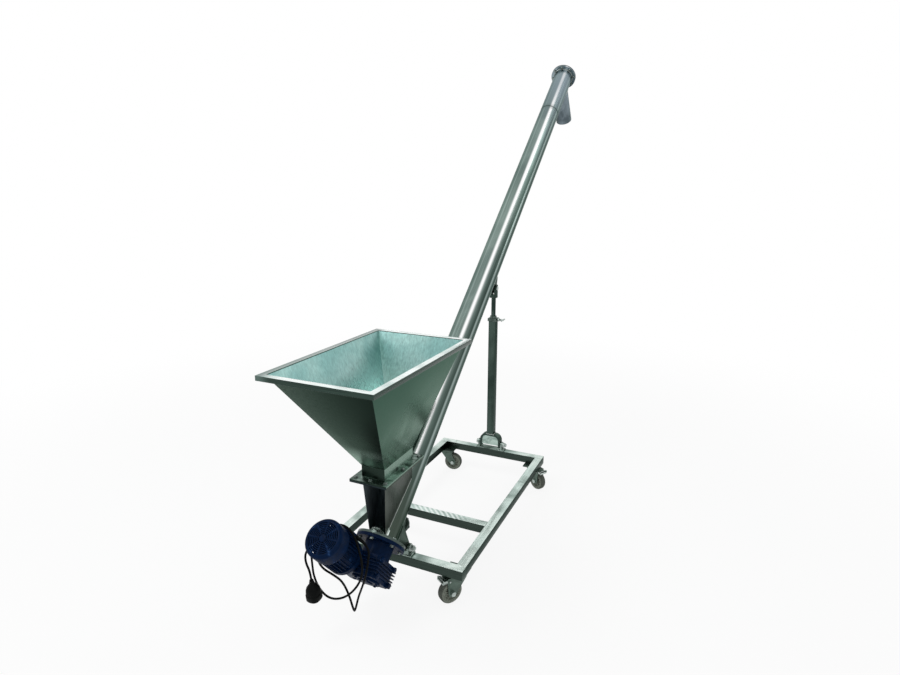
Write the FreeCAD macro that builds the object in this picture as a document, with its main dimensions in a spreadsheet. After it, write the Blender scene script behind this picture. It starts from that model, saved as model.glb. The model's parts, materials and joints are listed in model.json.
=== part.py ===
import FreeCAD, Part
import Sketcher
import math
import os

# Powder conveyor: an inclined screw in a tube, fed by a hopper at its low end, on a wheeled frame.
# Millimetres and degrees. X runs across the machine, Y from the hopper to the outlet, Z up.
# The origin lies on the floor under the middle of the whole machine.

App = FreeCAD
V = App.Vector
doc = App.newDocument("powder_conveyor")

SIZES = {
    # base frame of square tube
    "rail_size": 40, "rail_wall": 3, "frame_width": 620, "frame_length": 1150,
    "middle_rail_back": 211, "weep_hole": 8,
    # casters
    "caster_height": 130, "caster_inset_x": 45, "caster_inset_y": 43, "front_inset_y": 58, "plate_long": 100,
    "plate_wide": 85, "plate_thick": 5, "race_radius": 26, "race_deep": 3, "wheel_clear": 30,
    "tyre_width": 32, "tyre_thick": 13, "hub_width": 36, "trail": 36, "axle_radius": 6,
    "fork_gap": 37, "fork_wall": 4, "fork_crown": 6, "brake_pin_radius": 4,
    # swivel angles of the four casters as they stand
    "turn_front_left": 180, "turn_front_right": 236, "turn_rear_left": 8, "turn_rear_right": -30,
    # pivots on the front and rear rails
    "pivot_height": 32, "ear_thick": 10, "ear_inside": 62, "ear_radius": 17, "pin_radius": 8,
    "bracket_base": 6, "bracket_half": 84, "washer_thick": 3, "washer_radius": 16,
    "bow_half": 60, "bow_corner": 36, "bow_thick": 11, "bow_web": 5,
    # telescopic post
    "post_size": 40, "post_wall": 3, "post_top": 755, "collar_size": 48, "collar_thick": 16,
    "collar_hub": 18, "collar_hub_high": 12, "guide_deep": 40, "rod_radius": 12, "rod_inside": 365,
    "head_half_x": 18, "head_half_y": 14, "head_above": 18, "head_below": 52, "clamp_radius": 5,
    "clamp_reach": 60, "handle_half": 26, "handle_radius": 4,
    # lug under the tube that the rod carries
    "lug_drop": 148, "lug_half": 6, "lug_play": 3.5,
    # inclined casing
    "incline": 40, "low_ahead": 110, "low_above": 73, "casing_radius": 60, "casing_wall": 3,
    "casing_length": 3262, "end_plate_radius": 100, "end_plate_thick": 10, "end_bolt_ring": 82.5,
    "top_flange_radius": 82, "top_flange_thick": 8, "top_bolt_ring": 71, "boss_radius": 38, "boss_high": 28,
    # screw
    "shaft_radius": 24, "shaft_wall": 5, "journal_radius": 14, "tip_radius": 12.5, "flight_radius": 54,
    "flight_pitch": 108, "flight_thick": 4, "flight_start": 26,
    # discharge spout
    "spout_station": 3142, "spout_radius": 52, "spout_wall": 3, "spout_reach": 250,
    # clean-out port
    "port_station": 113, "port_radius": 30, "port_wall": 3, "port_reach": 108,
    "port_flange_radius": 38, "port_flange_thick": 8, "port_bolt_ring": 31.5,
    # inlet box and its flange
    "inlet_front": -40, "inlet_length": 220, "inlet_half": 50, "inlet_wall": 3,
    "inlet_low_half": 33, "inlet_lean": 20,
    "inlet_flange_height": 285, "inlet_flange_thick": 6, "inlet_flange_side": 30,
    "inlet_flange_end": 40, "neck_height": 50,
    # hopper
    "hopper_height": 476, "hopper_half": 202, "hopper_front": 310, "hopper_back": 170,
    "hopper_wall": 3, "rim_wide": 22, "rim_deep": 18,
    # fasteners
    "bolt_radius": 4, "bolt_hole": 4.5, "bolt_head": 7.5, "bolt_head_high": 5.5, "nut_high": 6.5,
    # worm gearbox
    "gear_reach": 107, "gear_half": 41, "gear_right": 62, "gear_left": 104, "gear_front": 80,
    "gear_fillet": 14, "worm_offset": 72, "input_reach": 104, "input_radius": 48,
    "gear_flange_thick": 12, "gear_neck_radius": 58, "wheel_blank_radius": 50,
    "worm_blank_radius": 21, "gear_wall": 9, "lug_reach": 12, "lug_radius": 11, "fin_reach": 7,
    "fin_thick": 4, "fin_step": 12, "gear_cover_radius": 56,
    # motor
    "motor_flange_radius": 70, "motor_flange_thick": 12, "motor_bolt_ring": 59,
    "motor_spigot": 10, "motor_radius": 62,
    "motor_fin": 8, "motor_length": 108, "motor_bore": 40, "cowl_radius": 73, "cowl_length": 66,
    "cowl_wall": 2, "rotor_radius": 39.2, "motor_shaft_radius": 9.5, "fan_radius": 58,
    "box_turn": 15, "box_high": 12, "box_half": 32, "box_start": 4, "box_long": 56,
    "gland_radius": 9, "gland_reach": 18,
    # mains lead and its plug
    "cord_radius": 4, "plug_radius": 29, "plug_long": 82,
}

sheet = doc.addObject("Spreadsheet::Sheet", "sizes")
for row, (name, value) in enumerate(SIZES.items(), 1):
    sheet.set("A%d" % row, name)
    sheet.set("B%d" % row, str(value))
    sheet.setAlias("B%d" % row, name)
doc.recompute()


class Size(float):
    # A number that remembers the spreadsheet expression it came from.
    def __new__(cls, number, text):
        made = float.__new__(cls, number)
        made.text = text
        return made

    def __add__(self, other):
        return Size(float(self) + float(other), "(%s + %s)" % (self.text, text_of(other)))

    def __radd__(self, other):
        return Size(float(other) + float(self), "(%s + %s)" % (text_of(other), self.text))

    def __sub__(self, other):
        return Size(float(self) - float(other), "(%s - %s)" % (self.text, text_of(other)))

    def __rsub__(self, other):
        return Size(float(other) - float(self), "(%s - %s)" % (text_of(other), self.text))

    def __mul__(self, other):
        return Size(float(self) * float(other), "(%s * %s)" % (self.text, text_of(other)))

    __rmul__ = __mul__

    def __truediv__(self, other):
        return Size(float(self) / float(other), "(%s / %s)" % (self.text, text_of(other)))

    def __neg__(self):
        return Size(-float(self), "(-%s)" % self.text)


def text_of(value):
    return value.text if isinstance(value, Size) else repr(float(value))


def sine(angle):
    return Size(math.sin(math.radians(angle)), "sin(%s)" % text_of(angle))


def cosine(angle):
    return Size(math.cos(math.radians(angle)), "cos(%s)" % text_of(angle))


class Dimensions:
    pass


d = Dimensions()
for name in SIZES:
    setattr(d, name, Size(float(getattr(sheet, name)), "sizes." + name))

X_AXIS, Y_AXIS, Z_AXIS = V(1, 0, 0), V(0, 1, 0), V(0, 0, 1)
RUNNING = 0.05      # radial clearance of a shaft that turns in its hole
SEAT = 0.3          # gap between flat faces that slide past each other

frame_top = d.caster_height + d.rail_size
pivot_z = frame_top + d.pivot_height
pivot_y = (d.frame_length - d.rail_size) / 2
cos_up, sin_up = cosine(d.incline), sine(d.incline)
d.wheel_radius = (d.caster_height - d.wheel_clear) / 2
# the screw's axis meets the end plate this far ahead of the front pivot and above it
d.low_y = -pivot_y - d.low_ahead
d.low_z = pivot_z + d.low_above

# reach of the whole machine along Y, for an origin under its middle
front_reach = d.low_y + d.inlet_front - d.hopper_front - d.rim_wide
rear_reach = d.low_y + (d.spout_station + d.spout_radius) * cos_up + d.spout_reach * sin_up
origin_y = (front_reach + rear_reach) / 2


def bind(thing, prop, value):
    if isinstance(value, Size):
        thing.setExpression(prop, value.text)
    else:
        setattr(thing, prop, value)


def place(thing, x=0, y=0, z=0, axis=Z_AXIS, angle=0):
    thing.Placement = App.Placement(V(float(x), float(y), float(z)), App.Rotation(axis, float(angle)))
    for letter, value in (("x", x), ("y", y), ("z", z)):
        if isinstance(value, Size):
            thing.setExpression("Placement.Base." + letter, value.text)
    if isinstance(angle, Size):
        thing.setExpression("Placement.Rotation.Angle", angle.text)
    return thing


def on_floor(thing, x=0, y=0, z=0, axis=Z_AXIS, angle=0):
    return place(thing, x, y - origin_y, z, axis, angle)


def on_conveyor(thing):
    # local z runs up the screw's axis from the low end, local y points under the tube
    return on_floor(thing, 0, d.low_y, d.low_z, X_AXIS, d.incline - 90)


def on_motor(thing):
    # local z runs from the screw's axis up the motor, local y points up the screw's axis
    y = d.low_y - d.gear_reach * cos_up
    z = d.low_z - d.gear_reach * sin_up
    return on_floor(thing, -d.worm_offset, y, z, X_AXIS, d.incline)


def on_inlet(thing):
    # upright pieces that stand on the inclined casing
    return on_floor(thing, 0, d.low_y + d.inlet_front, d.low_z)


def block(x, y, z):
    made = doc.addObject("Part::Box", "block")
    bind(made, "Length", x[1] - x[0])
    bind(made, "Width", y[1] - y[0])
    bind(made, "Height", z[1] - z[0])
    return place(made, x[0], y[0], z[0])


def round_bar(radius, span, x=0, y=0, z=0, along="z", label="round_bar"):
    made = doc.addObject("Part::Cylinder", label)
    bind(made, "Radius", radius)
    bind(made, "Height", span[1] - span[0])
    if along == "x":
        return place(made, span[0], y, z, Y_AXIS, 90)
    if along == "y":
        return place(made, x, span[0], z, X_AXIS, -90)
    return place(made, x, y, span[0])


def hexagon(across, span, x=0, y=0, z=0, along="z"):
    made = doc.addObject("Part::Prism", "hexagon")
    made.Polygon = 6
    bind(made, "Circumradius", across)
    bind(made, "Height", span[1] - span[0])
    if along == "x":
        return place(made, span[0], y, z, Y_AXIS, 90)
    if along == "y":
        return place(made, x, span[0], z, X_AXIS, -90)
    return place(made, x, y, span[0])


def fuse(label, *pieces):
    made = doc.addObject("Part::MultiFuse", label)
    made.Shapes = list(pieces)
    return made


def group(label, *pieces):
    made = doc.addObject("Part::Compound", label)
    made.Links = list(pieces)
    return made


def cut(label, base, *tools):
    for tool in tools:
        made = doc.addObject("Part::Cut", "cut")
        made.Base, made.Tool = base, tool
        base = made
    base.Label = label
    return base


def common(label, first, second):
    made = doc.addObject("Part::Common", label)
    made.Base, made.Tool = first, second
    return made


def around(count, radius, maker, first=0.0):
    # copies of what maker(x, y) builds, evenly on a circle about local z
    places = [math.radians(first + 360.0 * i / count) for i in range(count)]
    return [maker(radius * math.cos(a), radius * math.sin(a)) for a in places]


parts = []


def keep(thing, name):
    thing.Label = name
    parts.append((thing, name))
    return thing


def origin_plane(body, role):
    return [item for item in body.Origin.OriginFeatures if item.Role == role][0]


def profile(body, role, points, circles=()):
    # closed outline and circles on an origin plane, each point bound to the sheet
    sketch = body.newObject("Sketcher::SketchObject", "outline")
    sketch.AttachmentSupport = (origin_plane(body, role), [""])
    sketch.MapMode = "FlatFace"
    count = len(points)
    for i in range(count):
        a, b = points[i], points[(i + 1) % count]
        sketch.addGeometry(Part.LineSegment(V(a[0], a[1], 0), V(b[0], b[1], 0)))
    for i in range(count):
        sketch.addConstraint(Sketcher.Constraint("Coincident", i, 2, (i + 1) % count, 1))
    spots = [(i, 1, point) for i, point in enumerate(points)]
    for x, y, radius in circles:
        edge = sketch.addGeometry(Part.Circle(V(x, y, 0), Z_AXIS, float(radius)))
        spots.append((edge, 3, (x, y)))
        index = sketch.addConstraint(Sketcher.Constraint("Radius", edge, float(radius)))
        if isinstance(radius, Size):
            sketch.setExpression("Constraints[%d]" % index, radius.text)
    for edge, end, (x, y) in spots:
        for kind, value, axis in (("DistanceX", x, -2), ("DistanceY", y, -1)):
            if not isinstance(value, Size) and value == 0:
                sketch.addConstraint(Sketcher.Constraint("PointOnObject", edge, end, axis))
                continue
            rule = Sketcher.Constraint(kind, -1, 1, edge, end, float(value))
            index = sketch.addConstraint(rule)
            if isinstance(value, Size):
                sketch.setExpression("Constraints[%d]" % index, value.text)
    return sketch


def pad(body, sketch, length, middle=False, back=False):
    made = body.newObject("PartDesign::Pad", "pad")
    made.Profile = sketch
    bind(made, "Length", length)
    made.Midplane = middle
    made.Reversed = back
    return made


def pocket(body, sketch, length, middle=False, back=False):
    made = body.newObject("PartDesign::Pocket", "pocket")
    made.Profile = sketch
    bind(made, "Length", length)
    made.Midplane = middle
    made.Reversed = back
    return made


def turned(label, points, role="XZ_Plane"):
    # a body of revolution about local z: points are (radius, height)
    body = doc.addObject("PartDesign::Body", label)
    sketch = profile(body, role, points)
    made = body.newObject("PartDesign::Revolution", "revolution")
    made.Profile = sketch
    made.ReferenceAxis = (sketch, ["V_Axis"])
    made.Angle = 360
    return body


def ringed(body, feature, count):
    # repeat a feature round the body's own z axis
    made = body.newObject("PartDesign::PolarPattern", "ring")
    made.Originals = [feature]
    made.Axis = (origin_plane(body, "Z_Axis"), [""])
    made.Angle = 360
    made.Occurrences = count
    body.Tip = made
    return made


def square_tube(label, length_pair, along):
    half, inner = d.rail_size / 2, d.rail_size / 2 - d.rail_wall
    if along == "x":
        return cut(label, block(length_pair, (-half, half), (-d.rail_size, 0)),
                   block(length_pair, (-inner, inner), (d.rail_wall - d.rail_size, -d.rail_wall)))
    return cut(label, block((-half, half), length_pair, (-d.rail_size, 0)),
               block((-inner, inner), length_pair, (d.rail_wall - d.rail_size, -d.rail_wall)))


def capped_rail(label, y):
    # across the whole frame, closed at both ends, with a weep hole underneath
    half, inner = d.rail_size / 2, d.rail_size / 2 - d.rail_wall
    wide = d.frame_width / 2
    body = cut(label, block((-wide, wide), (-half, half), (-d.rail_size, 0)),
               block((d.rail_wall - wide, wide - d.rail_wall), (-inner, inner),
                     (d.rail_wall - d.rail_size, -d.rail_wall)),
               round_bar(d.weep_hole / 2, (-d.rail_size - 1, d.rail_wall - d.rail_size + 1),
                         x=d.frame_width / 4))
    keep(on_floor(body, 0, y, frame_top), label)


def build_frame():
    side = d.frame_length / 2 - d.rail_size
    across = d.frame_width / 2 - d.rail_size
    capped_rail("front_rail", -pivot_y)
    capped_rail("rear_rail", pivot_y)
    for name, sign in (("left_rail", -1), ("right_rail", 1)):
        rail = square_tube(name, (-side, side), "y")
        keep(on_floor(rail, sign * (d.frame_width - d.rail_size) / 2, Size(0, "0"), frame_top), name)
    rail = square_tube("middle_rail", (-across, across), "x")
    keep(on_floor(rail, 0, -d.middle_rail_back, frame_top), "middle_rail")


CASTERS = (("front_left", -1, -1, d.turn_front_left, False),
           ("front_right", 1, -1, d.turn_front_right, True),
           ("rear_left", -1, 1, d.turn_rear_left, False),
           ("rear_right", 1, 1, d.turn_rear_right, True))


def caster_place(thing, side_x, side_y, turn):
    x = side_x * (d.frame_width / 2 - d.caster_inset_x)
    inset = d.front_inset_y if side_y < 0 else d.caster_inset_y
    return on_floor(thing, x, side_y * (d.frame_length / 2 - inset), d.caster_height, Z_AXIS, turn)


def caster_plate():
    half_x, half_y = d.plate_long / 2, d.plate_wide / 2
    return fuse("plate", block((-half_x, half_x), (-half_y, half_y), (-d.plate_thick, 0)),
                round_bar(d.race_radius, (-d.plate_thick - d.race_deep, -d.plate_thick)))


axle_z = d.wheel_radius - d.caster_height
fork_top = -(d.plate_thick + d.race_deep) - SEAT
brake_x, brake_z = d.trail + 12, 6 - d.wheel_clear


def fork(label, braked):
    # a pressed steel fork: crown over the wheel and two legs down to the axle
    body = doc.addObject("PartDesign::Body", label)
    back = d.trail + 22 if braked else d.trail - 2
    low = axle_z - 14
    outline = [(-d.race_radius - 4, fork_top), (back, fork_top), (back, fork_top - 28),
               (d.trail + 19, axle_z + 2), (d.trail + 11, low), (d.trail - 11, low),
               (d.trail - 24, axle_z), (-d.race_radius - 4, fork_top - 16)]
    pad(body, profile(body, "XZ_Plane", outline), d.fork_gap + 2 * d.fork_wall, middle=True)
    reach = d.trail + 60
    hollow = [(-reach, fork_top - d.fork_crown), (reach, fork_top - d.fork_crown),
              (reach, low - 5), (-reach, low - 5)]
    pocket(body, profile(body, "XZ_Plane", hollow), d.fork_gap, middle=True)
    holes = [(d.trail, axle_z, d.axle_radius + RUNNING)]
    if braked:
        holes.append((brake_x, brake_z, d.brake_pin_radius + RUNNING))
    pocket(body, profile(body, "XZ_Plane", [], holes), 2 * d.fork_gap, middle=True)
    return body


def axle():
    half = d.fork_gap / 2 + d.fork_wall
    return fuse("axle", round_bar(d.axle_radius, (-half - 7, half + 4), x=d.trail, z=axle_z, along="y"),
                hexagon(11, (-half - 8, -half), x=d.trail, z=axle_z, along="y"),
                hexagon(11, (half, half + 9), x=d.trail, z=axle_z, along="y"))


def hub():
    wide, rim = d.hub_width / 2, d.tyre_width / 2 - 2
    outer = d.wheel_radius - d.tyre_thick
    bore, boss, lip = d.axle_radius + RUNNING, 15.0, outer - 7
    points = [(bore, -wide), (boss, -wide), (boss, -6), (lip, -6), (lip, -rim), (outer, -rim),
              (outer, rim), (lip, rim), (lip, 6), (boss, 6), (boss, wide), (bore, wide)]
    return wheel_axis(turned("hub", points))


def tyre():
    half, inner = d.tyre_width / 2, d.wheel_radius - d.tyre_thick + RUNNING
    points = [(inner, -half), (d.wheel_radius - 4, -half), (d.wheel_radius, 5 - half),
              (d.wheel_radius, half - 5), (d.wheel_radius - 4, half), (inner, half)]
    return wheel_axis(turned("tyre", points))


def wheel_axis(body):
    # turn a body of revolution from z to the axle's direction
    place(body, d.trail, Size(0, "0"), axle_z, X_AXIS, -90)
    return group("turned", body)


def brake_pedal():
    # toe plate behind the crown with a shoe that swings down towards the tyre
    half = d.fork_gap / 2 - 1
    toe = d.trail + 42
    plate = block((brake_x - 6, toe), (-half, half), (brake_z - 2.5, brake_z + 2.5))
    tip = round_bar(5.0, (-half - 4, half + 4), x=toe, z=brake_z + 1, along="y")
    shoe = block((brake_x + 10, brake_x + 20), (5 - half, half - 5), (brake_z - 8, brake_z))
    pin = round_bar(d.brake_pin_radius, (-half - 7, half + 7), x=brake_x, z=brake_z, along="y")
    return fuse("pedal", plate, tip, shoe, pin)


def build_casters():
    plates = []
    for name, side_x, side_y, turn, braked in CASTERS:
        plates.append(caster_place(caster_plate(), side_x, side_y, 0))
        for kind, piece in (("fork", fork("fork", braked)), ("axle", axle()), ("hub", hub()),
                            ("tyre", tyre())):
            keep(caster_place(piece, side_x, side_y, turn), kind + "_" + name)
        if braked:
            keep(caster_place(brake_pedal(), side_x, side_y, turn), "brake_" + name)
    keep(group("plates", *plates), "caster_plates")


def pivot_bracket():
    # base on the rail with two round-topped ears; local z is zero at the pin
    base = block((-d.bracket_half, d.bracket_half), (-d.rail_size / 2, d.rail_size / 2),
                 (-d.pivot_height, d.bracket_base - d.pivot_height))
    pieces = [base]
    for sign in (-1, 1):
        inner, outer = sign * d.ear_inside, sign * (d.ear_inside + d.ear_thick)
        span = (inner, outer) if sign > 0 else (outer, inner)
        pieces.append(block(span, (-d.ear_radius, d.ear_radius), (-d.pivot_height, 0)))
        pieces.append(round_bar(d.ear_radius, span, along="x"))
    reach = d.bracket_half + 10
    return cut("bracket", fuse("ears", *pieces),
               round_bar(d.pin_radius + RUNNING, (-reach, reach), along="x"))


def pivot_pin():
    # a bolt and a nut, each with its washer against the ear
    outside, wide = d.ear_inside + d.ear_thick, d.washer_radius
    face = outside + d.washer_thick
    bolt = fuse("bolt", round_bar(d.pin_radius, (-outside, face + 19), along="x"),
                round_bar(wide, (-face, -outside), along="x"),
                hexagon(13.5, (-face - 10, -face), along="x"))
    nut = cut("nut", fuse("nut", round_bar(wide, (outside, face), along="x"),
                          hexagon(13.5, (face, face + 13), along="x")),
              round_bar(d.pin_radius + RUNNING, (outside, face + 13), along="x"))
    return bolt, nut


def build_pivots():
    brackets = [on_floor(pivot_bracket(), 0, side * pivot_y, pivot_z) for side in (-1, 1)]
    keep(group("brackets", *brackets), "pivot_brackets")
    pins = []
    for side in (-1, 1):
        pins += [on_floor(piece, 0, side * pivot_y, pivot_z) for piece in pivot_pin()]
    keep(group("pins", *pins), "pivot_pins")


def arched(half, corner, span, foot):
    # upright block with two rounded top corners; its top is as high as it is half wide
    return fuse("arched", block((-half, half), span, (foot, half - corner)),
                block((corner - half, half - corner), span, (foot, half)),
                round_bar(corner, span, x=corner - half, z=half - corner, along="y"),
                round_bar(corner, span, x=half - corner, z=half - corner, along="y"))


def build_post():
    half = d.rail_size / 2
    inner, corner = d.bow_half - d.bow_thick, d.bow_corner - d.bow_thick
    foot, front = 1 - d.ear_radius, 6 - half
    arch = cut("arch", arched(d.bow_half, d.bow_corner, (-half, half), foot),
               arched(inner, corner, (-half - 1, half + 1), foot - 1),
               round_bar(d.pin_radius + RUNNING, (-80, 80), along="x"))
    web = arched(inner + 1, corner + 1, (front, front + d.bow_web), -6)
    keep(on_floor(fuse("bow", arch, web), 0, pivot_y, pivot_z), "post_bow")

    crown = d.bow_half
    top = d.post_top - d.pivot_height
    wide, bore = d.post_size / 2, d.post_size / 2 - d.post_wall
    tube = cut("tube", block((-wide, wide), (-wide, wide), (crown, top)),
               block((-bore, bore), (-bore, bore), (crown, top)))
    keep(on_floor(tube, 0, pivot_y, pivot_z), "post_tube")

    square, hub_top = d.collar_size / 2, top + d.collar_thick + d.collar_hub_high
    clamp_z = top + d.collar_thick / 2
    collar = fuse("collar", block((-square, square), (-square, square), (top, top + d.collar_thick)),
                  round_bar(d.collar_hub, (top, hub_top)),
                  round_bar(bore - 0.2, (top - d.guide_deep, top)))
    collar = cut("collar", collar, round_bar(d.rod_radius + RUNNING, (top - d.guide_deep, hub_top)),
                 round_bar(d.clamp_radius + RUNNING, (0, square + 1), z=clamp_z, along="x"))
    keep(on_floor(collar, 0, pivot_y, pivot_z), "post_collar")

    tee = d.clamp_reach - d.handle_radius
    clamp = fuse("clamp", round_bar(d.clamp_radius, (d.rod_radius + 0.1, d.clamp_reach), z=clamp_z,
                                    along="x"),
                 round_bar(9, (square + 4, square + 12), z=clamp_z, along="x"),
                 round_bar(d.handle_radius, (-d.handle_half, d.handle_half), x=tee, z=clamp_z,
                           along="y"))
    keep(on_floor(clamp, 0, pivot_y, pivot_z), "clamp_screw")

    bottom = top - d.rod_inside
    neck = lug_rise - d.head_below
    slot = d.lug_half + 0.7
    head = cut("head", block((-d.head_half_x, d.head_half_x), (-d.head_half_y, d.head_half_y),
                             (neck, lug_rise + d.head_above)),
               block((-slot, slot), (-20, 20), (lug_rise - 36, lug_rise + 40)),
               round_bar(d.pin_radius + RUNNING, (-40, 40), z=lug_rise, along="x"))
    rod = fuse("rod", round_bar(d.rod_radius, (bottom, neck)), head)
    keep(on_floor(rod, 0, pivot_y, pivot_z), "post_rod")

    side = d.head_half_x
    pin = fuse("pin", round_bar(d.pin_radius, (-side - 4, side + 4), z=lug_rise, along="x"),
               round_bar(12, (-side - 4, -side), z=lug_rise, along="x"),
               round_bar(12, (side, side + 4), z=lug_rise, along="x"))
    keep(on_floor(pin, 0, pivot_y, pivot_z), "rod_pin")


def local_of(y, z):
    # a floor point in the X = 0 plane as (under the tube, up the axis)
    dy, dz = y - d.low_y, z - d.low_z
    return dy * sin_up - dz * cos_up, dy * cos_up + dz * sin_up


# the lug's hole lies straight above the rear pivot
lug_station = (pivot_y - d.low_y - d.lug_drop * sin_up) / cos_up
lug_height = d.low_z + lug_station * sin_up - d.lug_drop * cos_up
lug_rise = lug_height - pivot_z
front_under, front_along = local_of(-pivot_y, pivot_z)


def casing_bar(extra=0.0):
    # the solid cylinder that pieces standing on the casing are coped to
    return round_bar(d.casing_radius + extra, (-200, d.casing_length + 200))


def build_casing():
    r, bore = d.casing_radius, d.casing_radius - d.casing_wall
    start, end = d.end_plate_thick, d.casing_length
    mouth = (d.inlet_length + d.inlet_front - 3 * d.inlet_wall) / cos_up
    side = d.inlet_low_half - d.inlet_wall
    top, thick, ring = d.casing_length, d.top_flange_thick, d.top_bolt_ring
    holes = around(8, ring, lambda x, y: round_bar(d.bolt_hole, (top - 1, top + thick + 1), x=x, y=y))
    body = fuse("casing", round_bar(r, (start, end)),
                round_bar(d.top_flange_radius, (top, top + thick)))
    body = cut("casing", body, round_bar(bore, (start, top + thick)),
               block((-side, side), (-r - 1, -14), (start + d.inlet_lean, mouth)),
               round_bar(d.spout_radius - d.spout_wall, (10, r + 1), z=d.spout_station, along="y"),
               round_bar(d.port_radius - d.port_wall, (10, r + 1), z=d.port_station, along="y"),
               group("holes", *holes))
    keep(on_conveyor(body), "casing_tube")

    holes = around(6, d.end_bolt_ring, lambda x, y: round_bar(d.bolt_hole, (-1, start + 1), x=x, y=y), 30)
    plate = cut("plate", round_bar(d.end_plate_radius, (0, start)),
                round_bar(d.journal_radius + RUNNING, (-1, start + 1)), group("holes", *holes))
    keep(on_conveyor(plate), "end_plate")

    holes = around(8, ring, lambda x, y: round_bar(d.bolt_hole, (top + 1, top + 2 * thick + 1),
                                                   x=x, y=y))
    outside = top + 2 * thick
    cover = fuse("cover", round_bar(d.top_flange_radius, (top + thick, outside)),
                 round_bar(d.boss_radius, (outside, outside + d.boss_high)))
    cover = cut("cover", cover,
                round_bar(d.tip_radius + RUNNING, (top, outside + d.boss_high - 4)),
                group("holes", *holes))
    keep(on_conveyor(cover), "top_cover")

    spout = cut("spout", round_bar(d.spout_radius, (20, d.spout_reach), z=d.spout_station, along="y"),
                round_bar(d.spout_radius - d.spout_wall, (20, d.spout_reach), z=d.spout_station,
                          along="y"), casing_bar())
    keep(on_conveyor(spout), "discharge_spout")


def build_port():
    inner = d.port_radius - d.port_wall
    reach, thick = d.port_reach, d.port_flange_thick
    stub = cut("stub", fuse("stub", round_bar(d.port_radius, (20, reach), z=d.port_station,
                                              along="y"),
                            round_bar(d.port_flange_radius, (reach - thick, reach),
                                      z=d.port_station, along="y")),
               round_bar(inner, (20, reach + 1), z=d.port_station, along="y"), casing_bar())
    keep(on_conveyor(stub), "cleanout_port")
    cover = fuse("cover", round_bar(d.port_flange_radius, (reach, reach + thick),
                                    z=d.port_station, along="y"),
                 round_bar(inner - 1, (reach - 4, reach), z=d.port_station, along="y"))
    keep(on_conveyor(cover), "cleanout_cover")


def build_saddle():
    # band under the tube and two cheeks down to the front pivot
    inside, outside = d.ear_inside - 2 - d.ear_thick, d.ear_inside - 2
    near = d.end_plate_thick + 8
    cheeks = []
    for sign in (-1, 1):
        body = doc.addObject("PartDesign::Body", "cheek")
        outline = [(20, near), (20, near + 70), (front_under, front_along + d.ear_radius),
                   (front_under, front_along - d.ear_radius)]
        pad(body, profile(body, "YZ_Plane", outline), d.ear_thick, middle=True)
        place(body, sign * (inside + outside) / 2, Size(0, "0"), Size(0, "0"))
        cheeks.append(body)
        span = (inside, outside) if sign > 0 else (-outside, -inside)
        cheeks.append(round_bar(d.ear_radius, span, y=front_under, z=front_along, along="x"))
    band = cut("band", round_bar(d.casing_radius + 6, (near + 6, near + 46)),
               block((-90, 90), (-90, 22), (near, near + 60)))
    saddle = cut("saddle", fuse("saddle", band, *cheeks), casing_bar(),
                 round_bar(d.pin_radius + RUNNING, (-90, 90), y=front_under, z=front_along,
                           along="x"))
    keep(on_conveyor(saddle), "front_saddle")


def build_lug():
    body = doc.addObject("PartDesign::Body", "lug")
    low = d.lug_drop + 20
    outline = [(50, lug_station - 60), (50, lug_station + 95), (d.lug_drop - 14, lug_station + 66),
               (low, lug_station + 18), (low, lug_station - 18), (d.lug_drop - 20, lug_station - 26)]
    pad(body, profile(body, "YZ_Plane", outline), 2 * d.lug_half, middle=True)
    lug = cut("lug", body, casing_bar(),
              round_bar(d.pin_radius + d.lug_play, (-20, 20), y=d.lug_drop, z=lug_station,
                        along="x"))
    keep(on_conveyor(lug), "tube_lug")


def flight_turn(inner, outer, pitch, thick, z):
    # one pitch of the screw: ruled helicoid faces above and below, closed by edge faces
    low_in, low_out = Part.makeHelix(pitch, pitch, inner), Part.makeHelix(pitch, pitch, outer)
    top_in, top_out = low_in.copy(), low_out.copy()
    for wire in (top_in, top_out):
        wire.translate(V(0, 0, thick))
    faces = []
    for first, second in ((low_in, low_out), (top_in, top_out), (low_in, top_in),
                          (low_out, top_out)):
        faces += Part.makeRuledSurface(first, second).Faces
    for height in (0, pitch):
        corners = [V(inner, 0, height), V(outer, 0, height), V(outer, 0, height + thick),
                   V(inner, 0, height + thick), V(inner, 0, height)]
        faces.append(Part.Face(Part.makePolygon(corners)))
    shell = Part.makeShell(faces)
    shell.sewShape()
    solid = Part.makeSolid(shell)
    solid.translate(V(0, 0, z))
    return solid


def build_screw():
    end = d.casing_length + d.top_flange_thick - SEAT
    tip = end + d.top_flange_thick + d.boss_high - 8
    start = d.end_plate_thick + SEAT
    pipe = cut("pipe", round_bar(d.shaft_radius, (start, end)),
               round_bar(d.shaft_radius - d.shaft_wall, (start + 50, end - 50)),
               round_bar(2, (0, d.shaft_radius + 1), z=start + 60, along="y"))
    shaft = fuse("shaft", pipe, round_bar(d.journal_radius, (-d.gear_reach - d.gear_half, start)),
                 round_bar(d.tip_radius, (end, tip)))
    keep(on_conveyor(shaft), "screw_shaft")

    length = d.spout_station + d.spout_radius - d.flight_start
    turns = int(length / d.flight_pitch)
    solids = [flight_turn(d.shaft_radius + RUNNING, float(d.flight_radius), float(d.flight_pitch),
                          float(d.flight_thick), d.flight_start + i * d.flight_pitch)
              for i in range(turns)]
    flights = doc.addObject("Part::Feature", "flights")
    flights.Shape = Part.makeCompound(solids)
    keep(on_conveyor(flights), "screw_flights")


def frustum(bottom, top, low, high):
    # upright tapered block: bottom and top are (half width, front y, back y)
    made = doc.addObject("Part::Wedge", "frustum")
    for prop, value in (("Xmin", -bottom[0]), ("Xmax", bottom[0]), ("Zmin", -bottom[2]),
                        ("Zmax", -bottom[1]), ("X2min", -top[0]), ("X2max", top[0]),
                        ("Z2min", -top[2]), ("Z2max", -top[1]), ("Ymin", low), ("Ymax", high)):
        bind(made, prop, value)
    return place(made, 0, 0, 0, X_AXIS, 90)


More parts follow.
